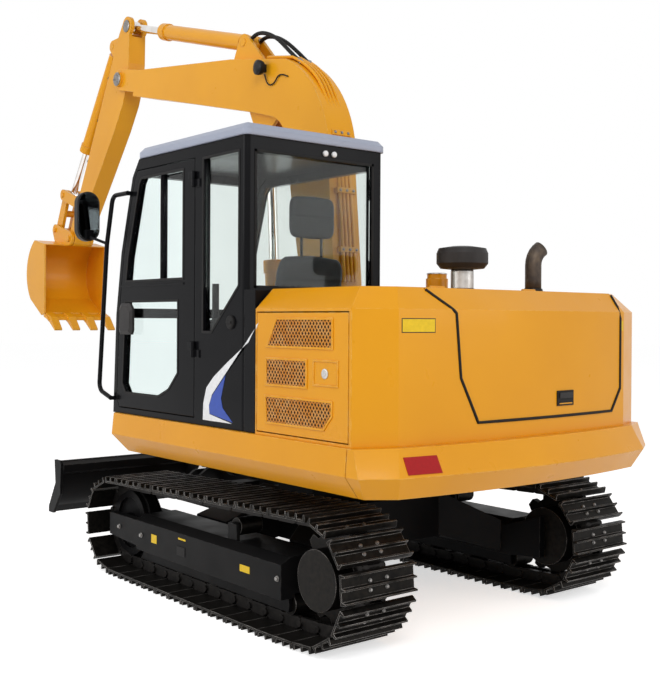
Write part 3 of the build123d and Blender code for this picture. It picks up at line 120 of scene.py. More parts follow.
def edge_mask(tree, radius):
    """Rounded edge normals and a mask that is high along a piece's edges."""
    bevel = node(tree, "ShaderNodeBevel", samples=4, Radius=radius)
    geometry = node(tree, "ShaderNodeNewGeometry")
    dot = node(tree, "ShaderNodeVectorMath", operation="DOT_PRODUCT")
    tree.links.new(bevel.outputs["Normal"], dot.inputs[0])
    tree.links.new(geometry.outputs["Normal"], dot.inputs[1])
    return bevel.outputs["Normal"], ramp(tree, dot.outputs["Value"], 0.965, 0.86)


def bump(tree, height, strength, distance, normal=None):
    """A bump over an optional base normal."""
    made = node(tree, "ShaderNodeBump", Strength=strength, Distance=distance)
    tree.links.new(height, made.inputs["Height"])
    if normal is not None:
        tree.links.new(normal, made.inputs["Normal"])
    return made.outputs["Normal"]


def enamel(name, colour, shade, roughness=0.30, coat=0.10, edge_radius=0.006, edge_colour=None,
           orange_peel=0.03, specular=0.22):
    """Sprayed paint: slow colour change, rounded edges, where asked a lighter edge colour as a painted
    highlight, a clear coat with a fine ripple.
    """
    made, tree, shader = new_material(name)
    base = mix(tree, ramp(tree, noise(tree, 1.3), 0.35, 0.68), colour, shade)
    normal, edges = edge_mask(tree, edge_radius)
    # A lighter edge colour mixed in along the edges in patches: a painted highlight.
    if edge_colour is not None:
        edge_wear_and_highlight = multiply(tree, edges, ramp(tree, noise(tree, 26, 5.0), 0.42, 0.6))
        base = mix(tree, edge_wear_and_highlight, base, edge_colour)
    tree.links.new(base, shader.inputs["Base Color"])
    rough = spread(tree, ramp(tree, noise(tree, 7), 0.2, 0.8), roughness * 0.85, roughness * 1.25)
    tree.links.new(rough, shader.inputs["Roughness"])
    settle(shader, Coat_Weight=coat, Coat_Roughness=0.08, Specular_IOR_Level=specular)
    tree.links.new(bump(tree, noise(tree, 420), orange_peel, 0.001, normal), shader.inputs["Normal"])
    return made


def steel(name, colour, shade, roughness, metallic=1.0, grain=60, edge_colour=None, edge_radius=0.004,
          bump_strength=0.25, specular=0.5):
    """Bare or dark metal with a cloudy roughness and, where asked, polished edges."""
    made, tree, shader = new_material(name)
    cloud = noise(tree, grain, 6.0)
    base = mix(tree, ramp(tree, cloud, 0.35, 0.65), colour, shade)
    normal, edges = edge_mask(tree, edge_radius)
    if edge_colour is not None:
        edge_wear_and_highlight = multiply(tree, edges, ramp(tree, noise(tree, 14, 4.0), 0.3, 0.6))
        base = mix(tree, edge_wear_and_highlight, base, edge_colour)
    tree.links.new(base, shader.inputs["Base Color"])
    rough = spread(tree, cloud, roughness * 0.7, min(1.0, roughness * 1.3))
    tree.links.new(rough, shader.inputs["Roughness"])
    settle(shader, Metallic=metallic, Specular_IOR_Level=specular)
    tree.links.new(bump(tree, noise(tree, grain * 5), bump_strength, 0.001, normal), shader.inputs["Normal"])
    return made


def plastic(name, colour, shade, roughness, grain=900, strength=0.15, coat=0.0):
    """Moulded plastic or rubber with a fine grain."""
    made, tree, shader = new_material(name)
    base = mix(tree, ramp(tree, noise(tree, 9), 0.3, 0.7), colour, shade)
    tree.links.new(base, shader.inputs["Base Color"])
    settle(shader, Roughness=roughness, Coat_Weight=coat, Specular_IOR_Level=0.18)
    normal, _ = edge_mask(tree, 0.003)
    tree.links.new(bump(tree, noise(tree, grain, 2.0), strength, 0.0006, normal), shader.inputs["Normal"])
    return made


def glazing(name, colour, haze):
    """Tinted safety glass: clear, with a faint film."""
    made, tree, shader = new_material(name)
    shade = tuple(c * 0.96 for c in colour)
    base = mix(tree, ramp(tree, noise(tree, 2.2), 0.3, 0.7), colour, shade)
    tree.links.new(base, shader.inputs["Base Color"])
    settle(shader, Roughness=haze, Transmission_Weight=1.0, IOR=1.2)
    return made


def flat_finish(name, colour, roughness, coat=0.0):
    """A printed or reflective film with a faint mottle."""
    made, tree, shader = new_material(name)
    shade = tuple(c * 0.88 for c in colour)
    base = mix(tree, ramp(tree, noise(tree, 55), 0.3, 0.7), colour, shade)
    tree.links.new(base, shader.inputs["Base Color"])
    settle(shader, Roughness=roughness, Coat_Weight=coat, Specular_IOR_Level=0.2)
    return made


# The yellow's pale cream edge colour is a painted highlight along the edges.
YELLOW = enamel("yellow_enamel", (0.79, 0.338, 0.006), (0.74, 0.308, 0.005), edge_colour=(0.93, 0.60, 0.17))
# A lighter copy of the body's yellow enamel for the boom, arm, cylinders and bucket: painted light; its pale
# edge colour is a painted highlight.
YELLOW_LIT = enamel("yellow_lit_enamel", (0.86, 0.385, 0.010), (0.80, 0.345, 0.008),
                      edge_colour=(0.95, 0.66, 0.2))
# A darker copy of the yellow enamel for the grille mesh: painted shade in the grilles' recesses; its paler
# edge colour is a painted highlight.
YELLOW_SHADED = enamel("yellow_shaded_enamel", (0.70, 0.27, 0.02), (0.62, 0.21, 0.02), 0.4, 0.2,
                     edge_colour=(0.8, 0.5, 0.2))
GLOSS_BLACK = enamel("gloss_black", (0.004, 0.004, 0.005), (0.007, 0.007, 0.008), 0.20, 0.03, 0.008,
                     specular=0.06)
# Grey along its edges: a painted highlight.
CHASSIS_BLACK = enamel("chassis_black", (0.004, 0.004, 0.0045), (0.009, 0.0085, 0.0085), 0.40, 0.0, 0.006,
                       (0.06, 0.057, 0.055), 0.1, 0.06)
ROOF_GREY = enamel("roof_grey", (0.38, 0.41, 0.50), (0.34, 0.37, 0.46), 0.45, 0.1, 0.02)
TRACK_STEEL = steel("track_steel", (0.008, 0.0075, 0.007), (0.016, 0.014, 0.012), 0.42, 0.55, 40,
                    (0.34, 0.32, 0.30), 0.005, specular=0.06)
DARK_STEEL = steel("dark_steel", (0.016, 0.015, 0.0145), (0.03, 0.027, 0.025), 0.5, 0.7, 30, specular=0.12)
CHROME = steel("chrome_rod", (0.78, 0.76, 0.74), (0.70, 0.66, 0.62), 0.10, 1.0, 12, bump_strength=0.02)
BOLT_STEEL = steel("bolt_steel", (0.30, 0.29, 0.28), (0.20, 0.19, 0.18), 0.35, 1.0, 90)
EXHAUST_STEEL = steel("exhaust_steel", (0.10, 0.075, 0.055), (0.055, 0.045, 0.04), 0.55, 0.8, 22)
ENGINE_GREY = steel("engine_grey", (0.12, 0.12, 0.12), (0.08, 0.08, 0.08), 0.6, 0.3, 15)
PALE_STEEL = steel("pale_steel", (0.55, 0.54, 0.52), (0.45, 0.44, 0.42), 0.4, 1.0, 30)
RUBBER = plastic("black_rubber", (0.006, 0.0055, 0.0055), (0.011, 0.010, 0.0095), 0.6)
DARK_PLASTIC = plastic("dark_plastic", (0.022, 0.020, 0.020), (0.032, 0.029, 0.028), 0.5)
CONSOLE_PLASTIC = plastic("console_plastic", (0.035, 0.036, 0.038), (0.05, 0.05, 0.052), 0.55)
SEAT_VINYL = plastic("seat_vinyl", (0.020, 0.021, 0.024), (0.034, 0.035, 0.038), 0.48, 260, 0.5)
CLEAR_GLASS = glazing("clear_glass", (0.93, 0.985, 0.975), 0.0)
SMOKED_GLASS = glazing("smoked_glass", (0.83, 0.87, 0.85), 0.0)
LAMP_GLASS = glazing("lamp_glass", (0.95, 0.97, 0.98), 0.05)
# The mirror is a near-black metal: a painted dark reflection.
MIRROR_GLASS = steel("mirror_glass", (0.050, 0.054, 0.060), (0.07, 0.075, 0.08), 0.06, 1.0, 3,
                     bump_strength=0.0)
WHITE_FILM = flat_finish("white_film", (0.86, 0.87, 0.88), 0.3, 0.3)
BLUE_FILM = flat_finish("blue_film", (0.02, 0.07, 0.42), 0.3, 0.3)
RED_REFLECTOR = flat_finish("red_reflector", (0.39, 0.006, 0.008), 0.3, 0.0)
LABEL_YELLOW = flat_finish("label_yellow", (0.85, 0.56, 0.02), 0.4)
# A dark brown sheet behind the grille mesh: painted shade, standing in for the shaded space behind the holes.
PAINTED_SHADE_BACKING = plastic("painted_shade_backing", (0.030, 0.012, 0.004), (0.020, 0.008, 0.003), 0.8)
LABEL_EDGE = flat_finish("label_edge", (0.02, 0.02, 0.02), 0.4)

FINISHES = {
    "counterweight": YELLOW, "deck_frame": YELLOW, "engine_housing": YELLOW, "rear_hood": YELLOW,
    "left_engine_door": YELLOW, "right_engine_door": YELLOW, "right_housing": YELLOW, "filler_cap": YELLOW,
    "boom": YELLOW_LIT, "arm": YELLOW_LIT, "rocker_links": YELLOW_LIT, "bucket_link": YELLOW_LIT,
    "boom_cylinder_barrel": YELLOW_LIT, "arm_cylinder_barrel": YELLOW_LIT,
    "bucket_cylinder_barrel": YELLOW_LIT, "bucket": YELLOW_LIT,
    "car_body": CHASSIS_BLACK, "track_frames": CHASSIS_BLACK, "idlers": CHASSIS_BLACK,
    "swing_bearing": DARK_STEEL, "blade": CHASSIS_BLACK, "blade_cylinder_barrel": CHASSIS_BLACK,
    "track_left": TRACK_STEEL, "track_right": TRACK_STEEL, "sprockets": TRACK_STEEL,
    "track_rollers": TRACK_STEEL, "blade_cylinder_rod": CHROME, "boom_cylinder_rod": CHROME,
    "arm_cylinder_rod": CHROME, "bucket_cylinder_rod": CHROME,
    "cab_shell": GLOSS_BLACK, "cab_door": GLOSS_BLACK, "handrail": GLOSS_BLACK, "mirror": DARK_PLASTIC,
    "cab_roof": ROOF_GREY, "cab_glass": SMOKED_GLASS, "windscreen": CLEAR_GLASS, "door_glass": CLEAR_GLASS,
    "operator_seat": SEAT_VINYL, "consoles": CONSOLE_PLASTIC, "precleaner": DARK_PLASTIC,
    "exhaust_pipe": EXHAUST_STEEL, "engine_block": ENGINE_GREY,
}


def dress_cad_nodes():
    """Give every CAD node its finish in its own material slots."""
    for name, piece in NODES.items():
        finish = FINISHES[name]
        if not piece.material_slots:
            piece.data.materials.append(finish)
        for place in piece.material_slots:
            place.material = finish


# Meshes
def shown(name, data):
    """An object in the scene for its data."""
    piece = bpy.data.objects.new(name, data)
    bpy.context.scene.collection.objects.link(piece)
    return piece


def mounted(name, data, finish, body):
    """An object that rides on a body, with its finish."""
    data.materials.append(finish)
    piece = shown(name, data)
    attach(piece, body)
    return piece


def mesh_piece(name, vertices, faces, finish, body, smooth=False):
    """A new mesh on a body, smooth or flat."""
    data = bpy.data.meshes.new(name)
    data.from_pydata([tuple(v) for v in vertices], [], faces)
    data.validate()
    if smooth:
        data.polygons.foreach_set("use_smooth", [True] * len(data.polygons))
    return mounted(name, data, finish, body)


def band(first, second, count):
    """The quads between two closed rings of points, from the index where each ring starts."""
    steps = [(i, (i + 1) % count) for i in range(count)]
    return [(first + i, first + j, second + j, second + i) for i, j in steps]


class Shape:
    """Vertices and faces gathered for one joined mesh."""

    def __init__(self):
        self.vertices = []
        self.faces = []

    def add(self, vertices, faces):
        start = len(self.vertices)
        self.vertices.extend(Vector(v) for v in vertices)
        self.faces.extend(tuple(start + i for i in face) for face in faces)

    def box(self, centre, size, axes=(Vector((1, 0, 0)), Vector((0, 1, 0)), Vector((0, 0, 1)))):
        """A block with its three axes."""
        corners = []
        for i in (-0.5, 0.5):
            for j in (-0.5, 0.5):
                for k in (-0.5, 0.5):
                    corners.append(Vector(centre) + axes[0] * size[0] * i + axes[1] * size[1] * j
                                   + axes[2] * size[2] * k)
        faces = [(0, 1, 3, 2), (4, 6, 7, 5), (0, 4, 5, 1), (2, 3, 7, 6), (0, 2, 6, 4), (1, 5, 7, 3)]
        self.add(corners, faces)

    def prism(self, outline, start, along):
        """A flat outline of 3-D points pushed along a vector from start."""
        count = len(outline)
        low = [Vector(p) + Vector(start) for p in outline]
        high = [p + Vector(along) for p in low]
        sides = [(i, (i + 1) % count, count + (i + 1) % count, count + i) for i in range(count)]
        self.add(low + high, [tuple(range(count))[::-1], tuple(range(count, 2 * count))] + sides)

    def round(self, centre, axis, radii, heights, sides=16, turn=0.0):
        """A turned form: rings of radii at heights along an axis, closed at both ends."""
        axis = Vector(axis).normalized()
        across = axis.orthogonal().normalized()
        up = axis.cross(across)
        rings = []
        for radius, height in zip(radii, heights):
            for i in range(sides):
                angle = 2 * math.pi * i / sides + turn
                spoke = across * math.cos(angle) + up * math.sin(angle)
                rings.append(Vector(centre) + axis * height + spoke * radius)
        faces = [tuple(range(sides))[::-1]]
        for ring in range(len(radii) - 1):
            faces += band(ring * sides, (ring + 1) * sides, sides)
        faces.append(tuple(range((len(radii) - 1) * sides, len(radii) * sides)))
        self.add(rings, faces)

    def bolt(self, centre, axis, size):
        """A hexagon head on its washer."""
        self.round(centre, axis, (size * 0.62, size * 0.62), (-0.001, size * 0.14), 14)
        radii = (size * 0.5, size * 0.5, size * 0.42)
        self.round(centre, axis, radii, (size * 0.14, size * 0.45, size * 0.52), 6)

    def finish(self, name, finish, body, slot, smooth=False):
        return mesh_piece(name, self.vertices, self.faces, finish, body, smooth)


def curve_piece(name, kind, points, radius, finish, body):
    """A round bar along the control points of one curve."""
    data = bpy.data.curves.new(name, "CURVE")
    data.dimensions = "3D"
    data.bevel_depth = radius
    data.bevel_resolution = 2
    data.use_fill_caps = True
    data.resolution_u = 8
    spline = data.splines.new(kind)
    spline.points.add(len(points) - 1)
    for place, point in zip(spline.points, points):
        place.co = (*point, 1)
    if kind == "NURBS":
        spline.order_u = 3
        spline.use_endpoint_u = True
    return mounted(name, data, finish, body)


def tube(name, points, radius, finish, body):
    """A pipe or hose along a smooth line drawn by its control points."""
    return curve_piece(name, "NURBS", points, radius, finish, body)


def wire(name, points, radius, finish, body):
    """A seal along straight runs between its points."""
    return curve_piece(name, "POLY", points, radius, finish, body)


# Crawler tracks: the pitch line runs round the sprocket, the last roller and the idler
TRACK_Y = 0.835
SHOE_HALF = 0.225
SPROCKET_TEETH = 11
CHAIN_PITCH = 0.1475
PITCH_RADIUS = CHAIN_PITCH / (2 * math.sin(math.pi / SPROCKET_TEETH))
LINK_HEIGHT = 0.062
SHOE_PLATE = 0.011
GROUSER = 0.025
SHOE_FACE = LINK_HEIGHT / 2 + SHOE_PLATE
PITCH_LINE_Z = SHOE_FACE + GROUSER
IDLER_RADIUS = 0.236
SPROCKET = (-0.945, PITCH_RADIUS + PITCH_LINE_Z + 0.012)
IDLER = (1.080, IDLER_RADIUS + PITCH_LINE_Z)
LAST_ROLLER = (-0.640, PITCH_LINE_Z)
LINK_SPREAD = 0.092
LINK_WIDTH = 0.028
LINK_OUTLINE = ((-0.079, -0.024), (-0.06, -0.031), (0.06, -0.031), (0.079, -0.024),
                (0.079, 0.012), (0.05, 0.031), (-0.05, 0.031), (-0.079, 0.012))
LINK_STAGGER = 0.004
CHAIN_PIN_HALF = 0.072
CHAIN_PIN_RADIUS = 0.017
SHOE_BOLT_ACROSS = 0.052
SHOE_BOLT_ALONG = 0.022
SHOE_BOLT_SIZE = 0.017


def track_arcs():
    """The loop's two arcs as (centre, radius, first angle, last angle)."""
    gap = (SPROCKET[0] - IDLER[0], SPROCKET[1] - IDLER[1])
    upper = math.atan2(gap[1], gap[0]) - math.acos((IDLER_RADIUS - PITCH_RADIUS) / math.hypot(*gap))
    drop = (LAST_ROLLER[0] - SPROCKET[0], LAST_ROLLER[1] - SPROCKET[1])
    lower = math.atan2(drop[1], drop[0]) - math.acos(PITCH_RADIUS / math.hypot(*drop))
    return (IDLER, IDLER_RADIUS, -math.pi / 2, upper), (SPROCKET, PITCH_RADIUS, upper, 2 * math.pi + lower)


def track_runs():
    """The loop as straight runs and arcs in turn, each with its length."""
    runs = []
    start = LAST_ROLLER
    for centre, radius, first, last in track_arcs():
        entry = (centre[0] + radius * math.cos(first), centre[1] + radius * math.sin(first))
        runs.append(("line", start, entry, math.hypot(entry[0] - start[0], entry[1] - start[1]), first))
        runs.append(("arc", centre, (radius, first), radius * (last - first), last))
        start = (centre[0] + radius * math.cos(last), centre[1] + radius * math.sin(last))
    closing = math.hypot(start[0] - LAST_ROLLER[0], start[1] - LAST_ROLLER[1])
    runs.append(("line", start, LAST_ROLLER, closing, last))
    return runs


TRACK_RUNS = track_runs()
TRACK_LENGTH = sum(run[3] for run in TRACK_RUNS)


def track_place(distance):
    """The (x, z) point and outward angle at a distance along the pitch line."""
    distance = distance % TRACK_LENGTH
    for kind, first, second, length, angle in TRACK_RUNS:
        if distance <= length:
            break
        distance -= length
    if kind == "arc":
        radius, start = second
        angle = start + distance / radius
        return (first[0] + radius * math.cos(angle), first[1] + radius * math.sin(angle)), angle
    share = distance / length
    return (first[0] + share * (second[0] - first[0]), first[1] + share * (second[1] - first[1])), angle


def shoe_section(pitch):
    """One shoe seen from its end: a thin plate with three tapered grousers, as (along, out) points."""
    half = pitch / 2 - 0.003
    base, tip = 0.0085, 0.004
    section = [(-half, LINK_HEIGHT / 2), (-half, SHOE_FACE)]
    for centre in (-half + base, 0, half - base):
        section += [(centre - base, SHOE_FACE), (centre - tip, SHOE_FACE + GROUSER),
                    (centre + tip, SHOE_FACE + GROUSER), (centre + base, SHOE_FACE)]
    section += [(half, SHOE_FACE), (half, LINK_HEIGHT / 2)]
    return section


def dress_track(side, node_name):
    """A track with separate shoes, links, pins and bolts in place of the plain loop."""
    count = round(TRACK_LENGTH / CHAIN_PITCH)
    pitch = TRACK_LENGTH / count
    middle = side * TRACK_Y
    shoes, links, bolts = Shape(), Shape(), Shape()
    section = shoe_section(pitch)
    for number in range(count):
        start, _ = track_place((number + 0.5) * pitch)
        end, _ = track_place((number + 1.5) * pitch)
        along = Vector((end[0] - start[0], 0, end[1] - start[1])).normalized()
        out = Vector((along.z, 0, -along.x))
        _, angle = track_place((number + 1) * pitch)
        if out.x * math.cos(angle) + out.z * math.sin(angle) < 0:
            out = -out
        centre = Vector(((start[0] + end[0]) / 2, middle, (start[1] + end[1]) / 2))
        profile = [centre + along * a + out * h for a, h in section]
        shoes.prism(profile, (0, -SHOE_HALF, 0), (0, 2 * SHOE_HALF, 0))
        for row in (-1, 1):
            link = centre + LEFTWARD * row * LINK_SPREAD / 2
            ahead = row * LINK_STAGGER
            links.prism([link + along * a + out * h for a, h in LINK_OUTLINE],
                        (0, -LINK_WIDTH / 2 + ahead * (number % 2), 0), (0, LINK_WIDTH, 0))
            for a in (-SHOE_BOLT_ALONG, SHOE_BOLT_ALONG):
                place = centre + LEFTWARD * row * SHOE_BOLT_ACROSS + along * a + out * SHOE_FACE
                bolts.bolt(place, out, SHOE_BOLT_SIZE)
        pin = Vector((start[0], middle, start[1])) - LEFTWARD * CHAIN_PIN_HALF
        links.round(pin, LEFTWARD, (CHAIN_PIN_RADIUS, CHAIN_PIN_RADIUS), (0, 2 * CHAIN_PIN_HALF), 12)
    track = shoes.finish(f"{node_name}_shoes", TRACK_STEEL, "undercarriage", "track_steel")
    links.finish(f"{node_name}_chain", DARK_STEEL, "undercarriage", "track_steel")
    bolts.finish(f"{node_name}_bolts", BOLT_STEEL, "undercarriage", "track_steel")
    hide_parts(node_name)


# Surfaces of the upper structure
SKIRT_BEND, SKIRT_TOP = 0.888, 1.017
HOOD_SIDE = 1.056
HOOD_BEND, HOOD_TOP = 1.648, 1.752
TAIL_MIDDLE, TAIL_CORNER = -1.570, (-1.472, 0.919)
BAND_INSET, HOOD_INSET = 0.080, 0.135
CAB_SIDE = 1.045
CAB_REAR = -0.430
ROOF_TOP = 2.612
UP = Vector((0, 0, 1))
LEFTWARD = Vector((0, 1, 0))
FRONT_MIDDLE = -0.090
BOOM_HALF = 0.110
ARM_HALF = 0.075
ARM_PIPE_Y = -0.040


def tail_x(y, inset):
    """The curved tail's x at a y, its whole outline set in by an inset."""
    middle = TAIL_MIDDLE + inset
    corner_x = TAIL_CORNER[0] + 0.65 * inset
    corner_y = TAIL_CORNER[1] - 0.5 * inset
    rise = corner_x - middle
    radius = (corner_y ** 2 + rise ** 2) / (2 * rise)
    return middle + radius - math.sqrt(radius ** 2 - y ** 2)


def rear_inset(z):
    """How far the tail is set in at a height."""
    if z <= SKIRT_TOP:
        return max(0.0, z - SKIRT_BEND) / (SKIRT_TOP - SKIRT_BEND) * BAND_INSET
    return HOOD_INSET + max(0.0, z - HOOD_BEND)


def rear_point(y, z, lift=0.0):
    """A point on the tail's surface, or just outside it."""
    return Vector((tail_x(y, rear_inset(z)) - lift, y, z))


def rear_patch(name, y_range, z_range, height, finish, body, slot, steps=8):
    """A thin plate that follows the curved tail."""
    shape = Shape()
    edge, reach = y_range[0], y_range[1] - y_range[0]
    rows = []
    for lift in (-0.002, height):
        for z in z_range:
            rows.append([rear_point(edge + reach * i / steps, z, lift) for i in range(steps + 1)])
    low, low_top, out, out_top = rows
    ring = [low, low_top, out_top, out]
    points = [point for row in ring for point in row]
    count = steps + 1
    faces = []
    for row in range(4):
        start, after = row * count, (row + 1) % 4 * count
        faces += [(start + i, start + i + 1, after + i + 1, after + i) for i in range(steps)]
    faces.append(tuple(row * count for row in range(4)))
    faces.append(tuple(row * count + steps for row in range(4))[::-1])
    shape.add(points, faces)
    return shape.finish(name, finish, body, slot)


def middle_of(corners):
    """The mean of an outline's corners."""
    return sum(x for x, z in corners) / len(corners), sum(z for x, z in corners) / len(corners)


def offset_outline(corners, distance):
    """A convex (x, z) outline moved out by a distance, its corners mitred."""
    centre = middle_of(corners)
    lines = []
    for (ax, az), (bx, bz) in zip(corners, corners[1:] + corners[:1]):
        length = math.hypot(bx - ax, bz - az)
        normal = ((bz - az) / length, (ax - bx) / length)
        if (ax - centre[0]) * normal[0] + (az - centre[1]) * normal[1] < 0:
            normal = (-normal[0], -normal[1])
        lines.append((normal, ax * normal[0] + az * normal[1] + distance))
    moved = []
    for (first, reach), (second, far) in zip(lines[-1:] + lines[:-1], lines):
        cross = first[0] * second[1] - first[1] * second[0]
        x = (reach * second[1] - far * first[1]) / cross
        z = (far * first[0] - reach * second[0]) / cross
        moved.append((x, z))
    return moved


RIM_EDGE = 0.001


def rim(shape, corners, level, width, height, outward):
    """A mitred raised rim along a closed (x, z) outline on a side wall; outward is +1 or -1."""
    top = level + outward * height
    half = width / 2
    foot, shoulder = level - outward * RIM_EDGE, top - outward * RIM_EDGE
    rings = ((half, foot), (half, shoulder), (half - RIM_EDGE, top),
             (RIM_EDGE - half, top), (-half, shoulder), (-half, foot))
    count = len(corners)
    points = []
    for distance, y in rings:
        points += [Vector((x, y, z)) for x, z in offset_outline(corners, distance)]
    faces = []
    for ring in range(len(rings)):
        faces += band(ring * count, (ring + 1) % len(rings) * count, count)
    shape.add(points, faces)


def crossing(corners, point, direction):
    """Where a line through a convex outline enters and leaves it, or None."""
    hits = []
    for (ax, az), (bx, bz) in zip(corners, corners[1:] + corners[:1]):
        edge = (bx - ax, bz - az)
        cross = direction[0] * edge[1] - direction[1] * edge[0]
        if abs(cross) < 1e-9:
            continue
        reach = ((ax - point[0]) * edge[1] - (az - point[1]) * edge[0]) / cross
        share = ((ax - point[0]) * direction[1] - (az - point[1]) * direction[0]) / cross
        if 0 <= share < 1:
            hits.append(reach)
    return (min(hits), max(hits)) if len(hits) > 1 else None


# Engine doors: three grilles and a latch plate on each
GRILLES = (
    ((-0.722, 1.600), (-1.160, 1.600), (-1.160, 1.462), (-0.642, 1.462)),
    ((-0.636, 1.403), (-0.966, 1.403), (-0.966, 1.272), (-0.636, 1.272)),
    ((-0.630, 1.216), (-1.158, 1.216), (-1.158, 1.150), (-1.098, 1.084), (-0.642, 1.084)),
)
LATCH_PLATE = ((-1.020, 1.404), (-1.200, 1.404), (-1.200, 1.290), (-1.020, 1.290))
LATCH_LOCK = (-1.105, 1.345)
MESH_PITCH = 0.0195
MESH_STRIP = 0.0062
MESH_SLOPE = math.radians(52)
MESH_LINES = 22
SHORTEST_STRIP = 0.008


def dress_engine_door(side, body):
    """Perforated grilles in raised rims, over a dark backing sheet of painted shade, and a lock in its plate.
    """
    level = side * HOOD_SIDE
    rims, mesh, backing = Shape(), Shape(), Shape()
    for corners in GRILLES:
        rim(rims, corners, level, 0.011, 0.006, side)
        outline = [Vector((x, level, z)) for x, z in corners]
        # The dark sheet under each grille is painted shade showing through the holes.
        backing.prism(outline, (0, -side * 0.001, 0), (0, side * 0.0018, 0))
        centre = middle_of(corners)
        for slope in (-1, 1):
            direction = (math.cos(MESH_SLOPE), slope * math.sin(MESH_SLOPE))
            normal = (-direction[1], direction[0])
            for line in range(-MESH_LINES, MESH_LINES + 1):
                point = (centre[0] + normal[0] * line * MESH_PITCH, centre[1] + normal[1] * line * MESH_PITCH)
                span = crossing(corners, point, direction)
                if span is None or span[1] - span[0] < SHORTEST_STRIP:
                    continue
                reach = (span[0] + span[1]) / 2
                middle = Vector((point[0] + direction[0] * reach, level + side * (0.0022 + 0.0003 * slope),
                                 point[1] + direction[1] * reach))
                along = Vector((direction[0], 0, direction[1]))
                size = (span[1] - span[0], 0.0024, MESH_STRIP)
                mesh.box(middle, size, (along, LEFTWARD, along.cross(LEFTWARD)))
    rim(rims, LATCH_PLATE, level, 0.009, 0.005, side)
    lock = Shape()
    lock.round((LATCH_LOCK[0], level, LATCH_LOCK[1]), (0, side, 0), (0.024, 0.024, 0.020, 0.012, 0.012),
               (0, 0.004, 0.006, 0.006, 0.009), 24)
    lock.box((LATCH_LOCK[0], level + side * 0.0095, LATCH_LOCK[1]), (0.003, 0.002, 0.015))
    rims.finish(f"{body}_rims", YELLOW, body, "yellow_paint")
    # The mesh strips take the darker yellow: painted shade.
    mesh.finish(f"{body}_mesh", YELLOW_SHADED, body, "yellow_paint")
    backing.finish(f"{body}_backing", PAINTED_SHADE_BACKING, body, "dark_plastic")
    lock.finish(f"{body}_lock", PALE_STEEL, body, "chrome")


# Rear of the upper structure
SEAL_PATH = ((0.635, 1.741), (0.512, 1.629), (0.482, 1.322), (0.368, 1.105), (-0.720, 1.105),
             (-0.810, 1.225), (-0.810, 1.741))
SEAL_STEPS = 8
REAR_PATCHES = (
    ("rear_handle_bezel", (-0.350, -0.212), (1.158, 1.236), 0.006, RUBBER, "rear_hood", "dark_plastic"),
    ("rear_handle_grip", (-0.334, -0.228), (1.196, 1.226), 0.012, DARK_PLASTIC, "rear_hood", "dark_plastic"),
    ("rear_handle_lip", (-0.334, -0.228), (1.166, 1.172), 0.010, YELLOW, "rear_hood", "yellow_paint"),
    ("rear_label_left", (0.640, 0.835), (1.538, 1.605), SURFACE_LIFT, LABEL_EDGE, "upper", "dark_plastic"),
    ("rear_label_face", (0.644, 0.831), (1.542, 1.601), 2 * SURFACE_LIFT, LABEL_YELLOW, "upper",
     "yellow_paint"),
    ("rear_label_right", (-0.842, -0.822), (1.545, 1.600), SURFACE_LIFT, LABEL_YELLOW, "upper",
     "yellow_paint"),
    ("rear_reflector", (0.690, 0.872), (0.902, 0.978), 0.004, RED_REFLECTOR, "upper", "dark_plastic"),
)


def dress_rear():
    """The rear door's rubber seal, its handle, the blank labels and the reflector."""
    points = []
    for (start_y, start_z), (end_y, end_z) in zip(SEAL_PATH, SEAL_PATH[1:]):
        for step in range(SEAL_STEPS):
            share = step / SEAL_STEPS
            y = start_y + (end_y - start_y) * share
            points.append(rear_point(y, start_z + (end_z - start_z) * share, 0.001))
    points.append(rear_point(*SEAL_PATH[-1], 0.001))
    wire("rear_door_seal", points, 0.0075, RUBBER, "upper")
    for patch in REAR_PATCHES:
        rear_patch(*patch)


# Cab trim
SWOOSH_WHITE = ((-0.517, 1.548), (-0.460, 1.478), (-0.270, 1.372), (-0.130, 1.286), (-0.060, 1.225),
                (-0.030, 1.140), (-0.025, 1.049), (-0.313, 1.049), (-0.092, 1.084), (-0.086, 1.130),
                (-0.115, 1.190), (-0.248, 1.307), (-0.380, 1.425))
SWOOSH_BLUE = ((-0.248, 1.300), (-0.118, 1.185), (-0.090, 1.130), (-0.095, 1.087), (-0.318, 1.056),
               (-0.222, 1.125), (-0.205, 1.175))
DOOR_UPPER = ((0.190, 1.822), (0.190, 2.432), (0.672, 2.432), (0.700, 2.400), (0.840, 1.960), (0.862, 1.822))
DOOR_LOWER = ((0.245, 1.290), (0.245, 1.700), (0.868, 1.700), (0.905, 1.200), (0.860, 1.146),
              (0.464, 1.146), (0.347, 1.192))
REAR_QUARTER = ((-0.369, 1.771), (-0.369, 2.470), (-0.018, 2.470), (-0.018, 1.525), (-0.106, 1.525))
REAR_WINDOW = ((0.186, 1.765), (0.186, 2.470), (0.985, 2.470), (0.985, 1.765))
STRIPES = (("cab_stripe_white", SWOOSH_WHITE, SURFACE_LIFT, WHITE_FILM),
           ("cab_stripe_blue", SWOOSH_BLUE, 2 * SURFACE_LIFT, BLUE_FILM))
SEAL_WIDTH, SEAL_HEIGHT = 0.014, 0.003
DIVIDER_X = 0.440
CATCH_PLACE = (-0.300, 1.580)
LAMP_HEIGHT = 2.500
MIRROR_FACE_X = 1.1795
MIRROR_Y = CAB_SIDE + 0.095
MIRROR_LOW, MIRROR_HIGH = 2.155, 2.315
MIRROR_RADIUS = 0.068


